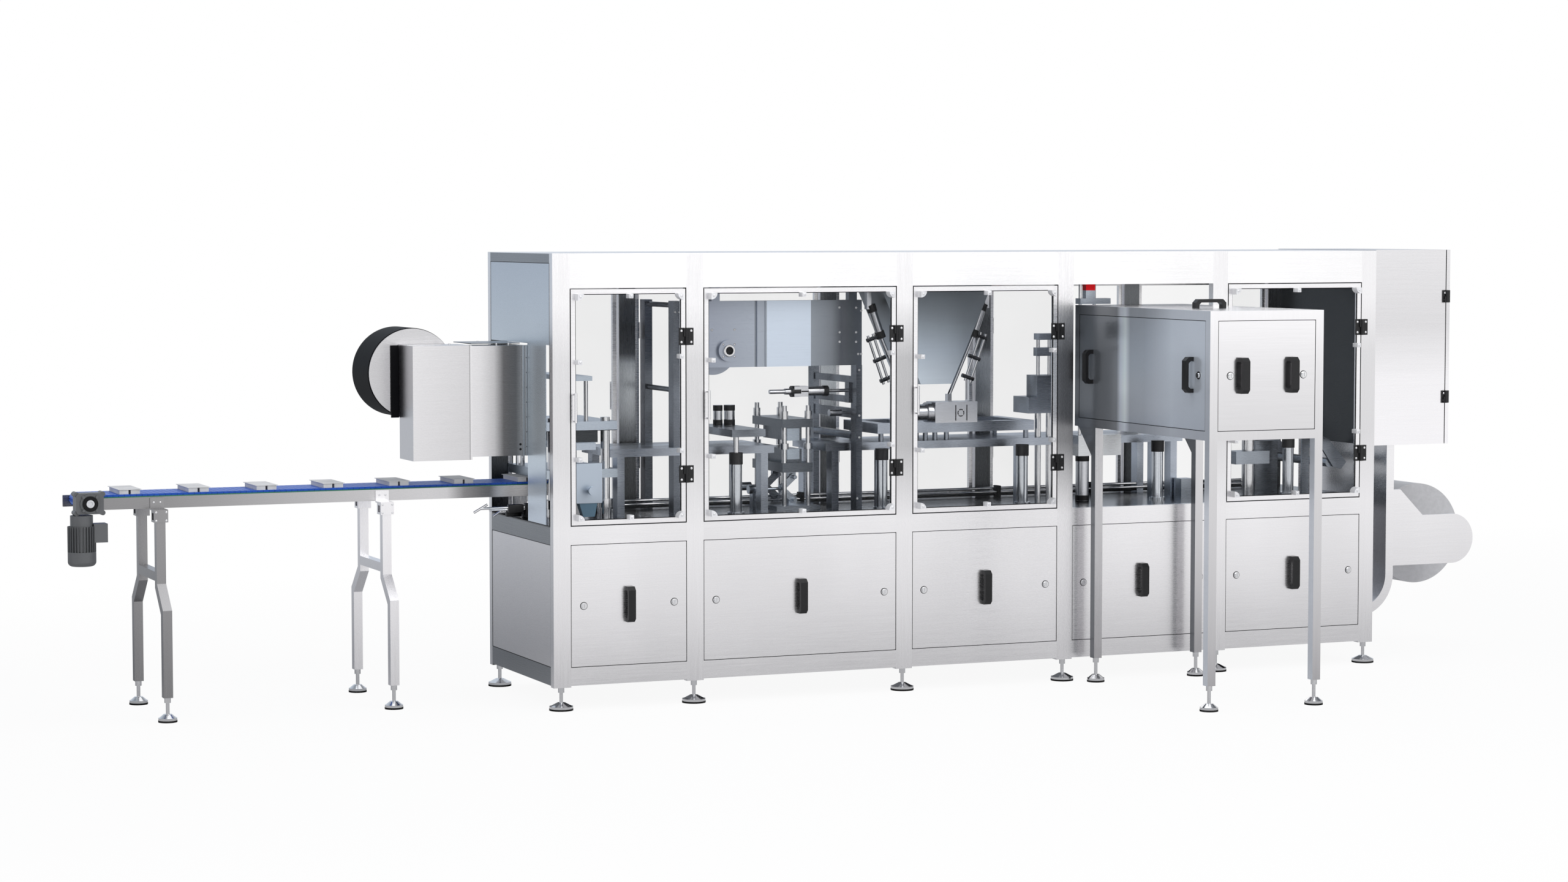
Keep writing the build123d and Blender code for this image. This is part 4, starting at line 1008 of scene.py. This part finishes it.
class LINE_OT_hinge_screws(bpy.types.Operator):
    """Put two button screws in every hinge leaf"""

    bl_idname = "line.hinge_screws"
    bl_label = "Fit Hinge Screws"

    def execute(self, context):
        radius = context.scene.line_trim.screw_radius
        for door in DOORS:
            self.leaf_screws(door + "_hinges", door, radius)
        self.leaf_screws("frame_hinges", "frame", radius)
        return {"FINISHED"}

    def leaf_screws(self, node, body, radius):
        """Screws on the front faces of the leaves of one node."""
        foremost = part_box(node)[0][Y]
        screws = bmesh.new()
        shape = merged_copy(node)
        for leaf in islands(shape):
            low, high = extent(vert.co for vert in leaf)
            if low.y > foremost + 0.02 or high.z - low.z < 0.05:
                continue
            knuckle = min(leaf, key=lambda vert: vert.co.y).co.x
            pin = 1 if knuckle > (low.x + high.x) / 2 else -1
            outer = low.x if pin > 0 else high.x
            face = min(vert.co.y for vert in leaf if abs(vert.co.x - outer) < 0.004)
            for z in (low.z + 0.013, high.z - 0.013):
                button_screw(screws, (outer + pin * 0.011, face, z), FORWARD, radius)
        shape.free()
        piece(node + "_screws", screws, "screw", body=body)


class LINE_OT_gap_linings(bpy.types.Operator):
    """Paint shade into the door gaps with black strips, and line the panel joints in black"""

    bl_idname = "line.gap_linings"
    bl_label = "Line Gaps"

    def execute(self, context):
        gap_shade_strip = 0.0006
        front = FRAME_LOW[Y] + 0.0012
        tube_back = FRAME_LOW[Y] + 0.039
        gap = context.scene.line_trim.door_gap
        for door in DOORS:
            low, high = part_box(door + "_frame")
            # Painted shade: black strips on the door's edges and round the frame's opening make the gaps
            # dark
            edge = bmesh.new()
            ring_of_bars(edge, low, high, gap_shade_strip, front, high[Y], grow=gap_shade_strip)
            piece(door + "_edge_lining", edge, "seal", body=door, smooth=False)
            opening = bmesh.new()
            ring_of_bars(opening, low, high, gap_shade_strip, front, tube_back, grow=gap)
            piece(door + "_opening_lining", opening, "seal", smooth=False)
        self.seams(context.scene.line_trim.seam_width)
        return {"FINISHED"}

    def seams(self, width):
        """Dark joints round the front, back and end panels and the cabinet's panels."""
        seams = bmesh.new()
        rise = 0.0004
        for across, others, first_side in (
            (Y, "lower_panels", self.faces_front),
            (X, "end_panels", self.faces_left),
        ):
            for low, high in solids(others) + solids("cabinet_panels"):
                if high[across] - low[across] < 0.03 and high[Z] - low[Z] > 0.1:
                    outer = low[across] - rise if first_side(low) else high[across]
                    ring_of_bars(seams, low, high, width, outer, outer + rise, across=across)
        piece("panel_seams", seams, "seal", smooth=False)

    def faces_front(self, low):
        """Whether a panel lies in the front half, of the frame or of the cabinet."""
        cabinet_low, cabinet_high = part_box("cabinet_panels")
        if low[X] > cabinet_low[X] - MM and low[Y] < ORIGIN_Y and low[Z] > 1.0:
            return low[Y] < (cabinet_low[Y] + cabinet_high[Y]) / 2
        return low[Y] < ORIGIN_Y + 0.4

    def faces_left(self, low):
        """Whether a panel lies in the left half, of the frame or of the cabinet."""
        start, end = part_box("cabinet_panels" if low[Y] < ORIGIN_Y - 0.2 else "front_posts")
        return low[X] < (start[X] + end[X]) / 2


class LINE_OT_panel_hardware(bpy.types.Operator):
    """Put a screw in each shoulder of the handles and a ring round each lock"""

    bl_idname = "line.panel_hardware"
    bl_label = "Fit Panel Hardware"

    def execute(self, context):
        self.locks()
        screws = bmesh.new()
        shape = merged_copy("panel_handles")
        for handle in islands(shape):
            self.fit(screws, [vert.co for vert in handle])
        shape.free()
        piece("handle_screws", screws, "screw")
        return {"FINISHED"}

    def locks(self):
        """Dark ring round the foot of every lock."""
        rings = bmesh.new()
        for low, high in solids("panel_locks"):
            size = high - low
            if max(size) < 0.025:
                continue
            out = min(range(3), key=lambda axis: size[axis])
            foot = (low + high) / 2
            wall = self.wall(foot, out, low, high)
            normal = outward(out, 1 if foot[out] > wall else -1)
            foot[out] = wall
            profile = ((0.0148, 0.0003), (0.0148, 0.0012), (0.0172, 0.0012), (0.0176, 0.0003))
            turned(rings, foot, normal, profile, 28)
        piece("lock_rings", rings, "seal")

    def fit(self, screws, points):
        """Two screws on one handle, on the shoulders beside its grip."""
        low, high = extent(points)
        size = high - low
        along = max(range(3), key=lambda axis: size[axis])
        across = min((axis for axis in range(3) if axis != along), key=lambda axis: size[axis])
        out = 3 - along - across
        centre = (low + high) / 2
        wall = self.wall(centre, out, low, high)
        inset = 0.009
        profile = ((0.0, 0.0016), (0.0028, 0.0016), (0.0042, 0.0010), (0.0042, 0.0))
        for end, side in ((low[along], 1), (high[along], -1)):
            near = [point for point in points if abs(point[along] - end) < 0.008]
            spot = centre.copy()
            spot[along] = end + side * inset
            spot[out] = max(near, key=lambda point: abs(point[out] - wall))[out]
            normal = outward(out, 1 if spot[out] > wall else -1)
            turned(screws, spot - normal * 0.0005, normal, profile, 12)

    def wall(self, centre, out, low, high):
        """Where the wall under a handle or a lock lies along its outward axis."""
        if out == Z:
            return low[Z]
        cabinet = centre.y < ORIGIN_Y - 0.06 or centre.z > 1.2
        start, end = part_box("cabinet_panels" if cabinet else "lower_panels")
        return high[out] if centre[out] < (start[out] + end[out]) / 2 else low[out]


class LINE_OT_bracket_screws(bpy.types.Operator):
    """Bolt the conveyor's leg brackets"""

    bl_idname = "line.bracket_screws"
    bl_label = "Fit Bracket Screws"

    def execute(self, context):
        screws = bmesh.new()
        rail_front, rail_back = (corner[Y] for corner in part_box("conveyor_rails"))
        for low, high in solids("leg_brackets"):
            front = low[Y] < (rail_front + rail_back) / 2
            side = -1 if front else 1
            face = (low[Y] if front else high[Y]) + side * 0.0002
            plate = (rail_front if front else rail_back) + side * 0.006
            middle = (low[X] + high[X]) / 2
            for x in (low[X] + 0.008, high[X] - 0.008):
                for z in (low[Z] + 0.008, low[Z] + 0.044):
                    button_screw(screws, (x, face, z), (0, side, 0), 0.0048)
            for x in (middle - 0.014, middle + 0.014):
                button_screw(screws, (x, plate, high[Z] - 0.020), (0, side, 0), 0.0045)
        piece("bracket_screws", screws, "screw")
        return {"FINISHED"}


class LINE_OT_belt(bpy.types.Operator):
    """Build the belt from moulded links that run round both drums"""

    bl_idname = "line.belt"
    bl_label = "Build Belt"

    def execute(self, context):
        low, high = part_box("conveyor_belt")
        thick = 0.009
        outer = (high[Z] - low[Z]) / 2
        radius = outer - thick / 2
        middle = (low[Z] + high[Z]) / 2
        start = low[X] + outer
        end = high[X] - outer
        straight = end - start
        loop = 2 * straight + math.tau * radius
        count = round(loop / context.scene.line_trim.belt_pitch)
        links = bmesh.new()
        for step in range(count):
            x, z, turn = self.spot(step / count * loop, start, end, middle, radius)
            self.link(links, (x, z, turn), (low[Y], high[Y]), loop / count, thick)
        belt = piece("belt_links", links, "belt", smooth=False)
        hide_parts("conveyor_belt")
        return {"FINISHED"}

    def spot(self, distance, start, end, middle, radius):
        """Place and turn of a link at a distance along the loop, from the top run's left end."""
        straight = end - start
        bend = math.pi * radius
        if distance < straight:
            return start + distance, middle + radius, 0.0
        distance -= straight
        if distance < bend:
            turn = distance / radius
            return end + radius * math.sin(turn), middle + radius * math.cos(turn), turn
        distance -= bend
        if distance < straight:
            return end - distance, middle - radius, math.pi
        turn = math.pi + (distance - straight) / radius
        return start + radius * math.sin(turn), middle + radius * math.cos(turn), turn

    def link(self, mesh, place, sides, pitch, thick):
        """One row of links: a flat bar with a tooth at each end of its leading edge."""
        x, z, turn = place
        front, back = sides
        half = pitch / 2 - 0.0011
        made = block(mesh, (-half, front, -thick / 2), (half, back, thick / 2))
        tooth = thick / 2 - 0.00175
        teeth = []
        for edge, inward in ((front, 1), (back, -1)):
            near = edge + inward * 0.0002
            far = edge + inward * 0.007
            teeth += block(
                mesh,
                (half - 0.0002, min(near, far), -tooth),
                (half + 0.0016, max(near, far), tooth),
            )
        matrix = Matrix.Translation((x, 0, z)) @ Matrix.Rotation(turn, 4, "Y")
        bmesh.ops.transform(mesh, matrix=matrix, verts=made + teeth)


class LINE_OT_drive_trim(bpy.types.Operator):
    """Put the shaft seal, hub and screws on the gearbox"""

    bl_idname = "line.drive_trim"
    bl_label = "Fit Drive Trim"

    def execute(self, context):
        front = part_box("gearbox")[0][Y] + 0.0035
        drum_low, drum_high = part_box("conveyor_drums")
        centre = Vector((drum_low[X] + 0.020, front, (drum_low[Z] + drum_high[Z]) / 2))
        seal = bmesh.new()
        profile = ((0.019, 0.0), (0.019, 0.005), (0.031, 0.005), (0.033, 0.003), (0.033, 0.0))
        turned(seal, centre, FORWARD, profile, 32)
        piece("gearbox_seal", seal, "seal")
        hub = bmesh.new()
        bore = ((0.0, 0.002), (0.008, 0.002), (0.009, 0.006))
        turned(hub, centre, FORWARD, (*bore, (0.0165, 0.006), (0.0182, 0.004), (0.0182, 0.0)), 32)
        centre.y += 0.0025
        for spot in circle(centre, 0.042, 4, 45):
            button_screw(hub, spot, FORWARD, 0.0045)
        piece("gearbox_hub", hub, "hub")
        return {"FINISHED"}


class LINE_OT_unwinder_trim(bpy.types.Operator):
    """Fit studs, flange strips, the top plate and a black plate of painted shadow beside the reel on the
    unwinder
    """

    bl_idname = "line.unwinder_trim"
    bl_label = "Fit Unwinder Trim"

    def execute(self, context):
        studs = bmesh.new()
        for x in (-529, -336, -118, -62):
            for y in (420, 690):
                rod(studs, at(x, y, 1590), at(x, y, 1600), 0.005, 12)
        piece("unwinder_studs", studs, "polished")

        strips = bmesh.new()
        for left, right in ((-27, -14), (-12, -1)):
            block(strips, at(left, 337, 1100), at(right, 340, 1592), 0.0006)
        block(strips, at(-229, 440, 1595), at(-1, 700, 1599), 0.0008)
        piece("unwinder_strips", strips, "rails")

        # Painted shade: thin black discs stand for the dark inside of the holes
        holes = bmesh.new()
        for z in (1151, 1129):
            rod(holes, at(-34, 339.5, z), at(-34, 340.4, z), 0.0055, 16)
        for z in range(1140, 1600, 66):
            rod(holes, at(-6, 336.5, z), at(-6, 337.4, z), 0.0022, 10)
        piece("unwinder_holes", holes, "seal")

        # Painted shadow: a black plate stands for the dark gap between the reel disc and the housing
        painted_reel_shadow = bmesh.new()
        block(painted_reel_shadow, at(-577, 510.5, 1272), at(-540, 516, 1592), 0.001)
        piece("painted_reel_shadow", painted_reel_shadow, "black_film")
        return {"FINISHED"}


class LINE_OT_inner_trim(bpy.types.Operator):
    """Fit hubs, caps and screws inside the frame and the toggle handles at its left end"""

    bl_idname = "line.inner_trim"
    bl_label = "Fit Inner Trim"

    def execute(self, context):
        self.film_hub()
        self.plate_screws(context.scene.line_trim.screw_radius)
        self.cylinder_caps()
        self.inclined_guides()
        self.gripper_face()
        self.toggles()
        self.tubes()
        return {"FINISHED"}

    def film_hub(self):
        """Flanged hub of the inner unwinder: bright ring, dark bore, splined core."""
        centre = at(927, 244.3, 1556)
        hub = bmesh.new()
        profile = ((0.0185, 0.0), (0.0185, 0.010), (0.026, 0.010), (0.028, 0.008), (0.028, 0.0))
        turned(hub, centre, FORWARD, profile, 32)
        for spot in circle(centre, 0.039, 4, 45):
            button_screw(hub, spot, FORWARD, 0.0048)
        piece("film_hub_ring", hub, "polished")
        core = bmesh.new()
        rod(core, centre + Vector((0, 0.0005, 0)), centre - Vector((0, 0.003, 0)), 0.0184, 32)
        for spot in circle(centre, 0.014, 6):
            rod(core, spot, spot - Vector((0, 0.008, 0)), 0.0032, 10)
        piece("film_hub_core", core, "seal")

    def plate_screws(self, radius):
        """Button screws on the inner unwinder's plates and the web frames."""
        screws = bmesh.new()
        for node, spots in PLATE_SCREWS.items():
            for x, z in spots:
                button_screw(screws, self.on_face(node, x, z), FORWARD, radius)
        piece("plate_screws", screws, "screw")

    def on_face(self, node, x, z):
        """Front face of a node at a place across it, found by a ray from the front."""
        part = frame["nodes"][node]
        hit, spot, _normal, _index = part.ray_cast(at(x, -300, z), Vector((0, 1, 0)))
        return spot if hit else at(x, 290, z)

    def inclined_cylinders(self):
        """Lower end, upper end, direction and side of each inclined cylinder."""
        for side in (-1, 1):
            low, high = (at(CYLINDER_MIDDLE + side * x, 600, z) for x, z in CYLINDER_ENDS)
            yield low, high, (high - low).normalized(), side

    def cylinder_caps(self):
        """Black end caps on the pneumatic cylinders."""
        caps = bmesh.new()
        for low, high, reach, _side in self.inclined_cylinders():
            rod(caps, low - reach * 0.004, low + reach * 0.030, 0.0235, 20)
            rod(caps, high - reach * 0.030, high + reach * 0.004, 0.0235, 20)
        for x, y, bottom, top, radius in (
            (231, 440, 1447, 1620, 23.5),
            (1033, 642, 1194, 1288, 22.5),
            (1091, 642, 1194, 1288, 26.5),
            (2804, 370, 807, 1022, 33.5),
        ):
            rod(caps, at(x, y, bottom + 0.5), at(x, y, bottom + 26), radius * MM, 20)
            rod(caps, at(x, y, top - 26), at(x, y, top - 0.5), radius * MM, 20)
        for left, right, radius in ((1292, 1334, 26), (1336, 1372, 24.5), (1452, 1476, 24.5)):
            rod(caps, at(left, 385, 1358), at(right, 385, 1358), radius * MM, 20)
        piece("cylinder_caps", caps, "black")

    def inclined_guides(self):
        """Two guide rods with clamps beside each inclined cylinder."""
        rods = bmesh.new()
        clamps = bmesh.new()
        for low, _high, reach, side in self.inclined_cylinders():
            out = Vector((side * reach.z, 0.0, -side * reach.x))
            start = low - reach * 0.215
            for offset in (0.034, 0.062):
                rod(rods, start + out * offset, low + reach * 0.030 + out * offset, 0.0065, 14)
            for place in (0.02, 0.12, 0.225):
                spot = start + reach * place
                rod(clamps, spot + out * 0.010, spot + out * 0.074, 0.0105, 6)
        piece("inclined_guides", rods, "polished")
        piece("inclined_clamps", clamps, "dark", smooth=False)

    def gripper_face(self):
        """Cover, seams and screws on the front of the gripper below the hopper."""
        seams = bmesh.new()
        front = self.on_face("actuators", 2150, 1240).y
        for x in (2118, 2176):
            spot = at(x, 0, 1206)
            block(seams, (spot.x, front - 0.0004, spot.z), (spot.x + 0.005, front, spot.z + 0.074))
        centre = at(2147, 0, 1243)
        centre.y = front
        profile = ((0.0135, 0.0), (0.0135, 0.0006), (0.0180, 0.0006), (0.0180, 0.0))
        turned(seams, centre, FORWARD, profile, 28)
        piece("gripper_seams", seams, "seal")
        screws = bmesh.new()
        for z in (1232, 1254):
            for x in (2136, 2158):
                spot = at(x, 0, z)
                spot.y = front - 0.0003
                button_screw(screws, spot, FORWARD, 0.0032)
        piece("gripper_screws", screws, "polished")

    def toggles(self):
        """Clamping screws with T-bars that stand out of the left end, over the deck."""
        bars = bmesh.new()
        bodies = bmesh.new()
        for y, z, reach, body_end, lean in ((500, 856, -169, 60, 0.5), (560, 833, -60, 70, 0.55)):
            rod(bars, at(reach, y, z), at(body_end, y, z), 0.006, 14)
            rod(bars, at(reach + 40, y, z - 9), at(body_end, y, z - 9), 0.004, 12)
            half = 0.036
            bar = Vector((half * math.cos(lean), 0.0, half * math.sin(lean)))
            rod(bars, at(reach, y, z) - bar, at(reach, y, z) + bar, 0.0055, 14)
            block(bodies, at(body_end - 100, y - 16, z - 22), at(body_end - 30, y + 16, z + 14), 0.003)
            block(bodies, at(body_end - 20, y - 18, 807.3), at(body_end + 60, y + 18, z + 18), 0.003)
        piece("toggle_bars", bars, "polished")
        piece("toggle_bodies", bodies, "black")

    def tubes(self):
        """Air tubes along the deck, held in saddles."""
        black = bmesh.new()
        bright = bmesh.new()
        for y, z, radius, mesh in ((740, 818, 6, black), (715, 832, 6, bright), (740, 848, 7, bright)):
            rod(mesh, at(430, y, z), at(4100, y, z), radius * MM, 14)
        saddles = bmesh.new()
        for x in range(450, 4100, 520):
            block(saddles, at(x - 9, 702, 807.3), at(x + 9, 754, 862), 0.002)
        piece("air_tubes", black, "black")
        piece("air_rod", bright, "polished")
        piece("tube_saddles", saddles, "seal")


class LINE_OT_stage(bpy.types.Operator):
    """Make the camera, the lamps and the pale floor"""

    bl_idname = "line.stage"
    bl_label = "Make Stage"

    def execute(self, context):
        self.camera(context)
        self.lamps(context)
        self.backdrop(context)
        self.floor(context)
        return {"FINISHED"}

    def camera(self, context):
        """Camera at the photograph's place: 76.6 mm lens, turned 23.1 degrees to the right."""
        data = bpy.data.cameras.new("camera")
        data.sensor_width = 36.0
        data.lens = 76.553
        data.clip_end = 200.0
        made = bpy.data.objects.new("camera", data)
        made.location = at(-4763.35, -13709.87, 2119.69)
        made.rotation_euler = (math.radians(90 - 3.694), 0.0, math.radians(-23.1323))
        context.scene.collection.objects.link(made)
        context.scene.camera = made

    def lamps(self, context):
        """Soft key from the front right, fill from the left and a top light."""
        middle = (Vector(CAD_BOX[0]) + Vector(CAD_BOX[1])) / 2
        for name, offset, size, power in (
            ("key", (3.5, -8.0, 5.5), 6.0, 260.0),
            ("fill", (-6.0, -6.5, 3.5), 5.0, 90.0),
            ("top", (0.0, -0.5, 6.5), 7.0, 160.0),
        ):
            data = bpy.data.lights.new(name, "AREA")
            data.size = size
            data.energy = power
            made = bpy.data.objects.new(name, data)
            made.location = middle + Vector(offset)
            made.rotation_euler = (middle - made.location).to_track_quat("-Z", "Y").to_euler()
            context.scene.collection.objects.link(made)

    def backdrop(self, context):
        """White world to the eye and through glass; gloss sees it with grey flags at the sides."""
        world = bpy.data.worlds.new("studio")
        context.scene.world = world
        world.use_nodes = True
        world.node_tree.nodes.clear()
        graph = Graph(world.node_tree)
        path = graph.tree.nodes.new("ShaderNodeLightPath")
        eye = graph.math("MAXIMUM", path.outputs["Is Camera Ray"], path.outputs["Is Transmission Ray"])
        side = graph.coordinate(X, "Generated")
        turn = graph.math("ARCTAN2", side, -1.0 * graph.coordinate(Y, "Generated"))
        around = turn * (1.0 / math.tau) + 0.5
        flags = graph.stops(
            around,
            (0.00, (0.62, 0.68, 0.76)),
            (0.06, (0.52, 0.58, 0.66)),
            (0.13, (0.24, 0.27, 0.30)),
            (0.20, (0.75, 0.78, 0.82)),
            (0.28, (0.70, 0.72, 0.75)),
            (0.35, (0.10, 0.105, 0.115)),
            (0.42, (0.45, 0.46, 0.48)),
            (0.49, WHITE),
            (0.66, WHITE),
            (0.73, (0.30, 0.31, 0.33)),
            (0.80, (0.10, 0.105, 0.115)),
            (0.90, (0.60, 0.64, 0.70)),
            (1.00, (0.62, 0.68, 0.76)),
        )
        plain = graph.node("ShaderNodeBackground", {}, {"Color": (0.95, 0.96, 1.0), "Strength": 0.62})
        gloss = graph.node("ShaderNodeBackground", {}, {"Color": flags, "Strength": 1.06})
        white = graph.node("ShaderNodeBackground", {}, {"Color": WHITE, "Strength": 1.0})
        glossy_ray = path.outputs["Is Glossy Ray"]
        seen = graph.node("ShaderNodeMixShader", {}, {0: glossy_ray, 1: plain, 2: gloss})
        shown = graph.node("ShaderNodeMixShader", {}, {0: eye, 1: seen, 2: white})
        out = graph.tree.nodes.new("ShaderNodeOutputWorld")
        graph.feed(out.inputs["Surface"], shown)
        context.scene.view_settings.view_transform = "Standard"

    def floor(self, context):
        """Pale floor: white to the camera with a soft shadow, darker to gloss near the machine."""
        mesh = bmesh.new()
        bmesh.ops.create_grid(mesh, x_segments=1, y_segments=1, size=60.0)
        data = bpy.data.meshes.new("floor")
        mesh.to_mesh(data)
        mesh.free()
        made = bpy.data.objects.new("floor", data)
        context.scene.collection.objects.link(made)
        finish = Finish("pale_floor")
        finish.set(Base_Color=(0.80, 0.80, 0.81), Roughness=0.8, Specular_IOR_Level=0.0)
        path = finish.tree.nodes.new("ShaderNodeLightPath")
        across = finish.math("ABSOLUTE", finish.coordinate(X)) - CAD_BOX[1][X]
        deep = finish.math("ABSOLUTE", finish.coordinate(Y)) - CAD_BOX[1][Y]
        away = finish.math("MAXIMUM", across, deep)
        white = finish.node("ShaderNodeEmission", {}, {"Color": WHITE, "Strength": 1.0})
        share = Signal(finish, path.outputs["Is Camera Ray"]) * (0.93 + 0.07 * finish.ramp(away, 1.0, 5.0))
        plain = finish.shader.outputs[0]
        shown = finish.node("ShaderNodeMixShader", {}, {0: share, 1: plain, 2: white})
        near = finish.stops(
            finish.ramp(away, 0.0, 10.0),
            (0.00, (0.50, 0.50, 0.51)),
            (0.15, (0.74, 0.735, 0.745)),
            (0.50, (0.96, 0.955, 0.965)),
            (1.00, WHITE),
        )
        far = finish.stops(
            finish.ramp(away, 0.0, 9.0),
            (0.00, (0.22, 0.23, 0.25)),
            (0.30, (0.34, 0.35, 0.37)),
            (1.00, (0.60, 0.62, 0.65)),
        )
        behind = finish.ramp(finish.coordinate(Y), 0.2, 2.0)
        tone = finish.mix(behind, near, far)
        mirror = finish.node("ShaderNodeEmission", {}, {"Color": tone, "Strength": 1.0})
        glossy_ray = path.outputs["Is Glossy Ray"]
        final = finish.node("ShaderNodeMixShader", {}, {0: glossy_ray, 1: shown, 2: mirror})
        finish.feed(finish.tree.nodes["Material Output"].inputs["Surface"], final)
        data.materials.append(finish.material)


class LINE_PT_panel(bpy.types.Panel):
    """Sidebar panel that lists the steps"""

    bl_idname = "LINE_PT_panel"
    bl_label = "Thermoforming Line"
    bl_space_type = "VIEW_3D"
    bl_region_type = "UI"
    bl_category = "Thermoforming"

    def draw(self, context):
        for step in STEPS:
            self.layout.operator(step.bl_idname)
        for group in (context.scene.line_trim, context.scene.line_colours):
            for name in group.bl_rna.properties.keys():
                if name not in {"rna_type", "name"}:
                    self.layout.prop(group, name)


STEPS = (
    LINE_OT_finish_frame,
    LINE_OT_door_trim,
    LINE_OT_hinge_screws,
    LINE_OT_gap_linings,
    LINE_OT_panel_hardware,
    LINE_OT_bracket_screws,
    LINE_OT_belt,
    LINE_OT_drive_trim,
    LINE_OT_unwinder_trim,
    LINE_OT_inner_trim,
    LINE_OT_stage,
)
CLASSES = (TrimSizes, LineColours, *STEPS, LINE_PT_panel)


def register():
    """Register the classes and the scene's settings."""
    for item in CLASSES:
        bpy.utils.register_class(item)
    bpy.types.Scene.line_trim = bpy.props.PointerProperty(type=TrimSizes)
    bpy.types.Scene.line_colours = bpy.props.PointerProperty(type=LineColours)


def unregister():
    """Take the settings and the classes away again."""
    del bpy.types.Scene.line_colours
    del bpy.types.Scene.line_trim
    for item in reversed(CLASSES):
        bpy.utils.unregister_class(item)


def main():
    """Register and make every group in order."""
    register()
    bpy.ops.line.finish_frame()
    bpy.ops.line.door_trim()
    bpy.ops.line.hinge_screws()
    bpy.ops.line.gap_linings()
    bpy.ops.line.panel_hardware()
    bpy.ops.line.bracket_screws()
    bpy.ops.line.belt()
    bpy.ops.line.drive_trim()
    bpy.ops.line.unwinder_trim()
    bpy.ops.line.inner_trim()
    bpy.ops.line.stage()


if __name__ == "__main__":
    main()
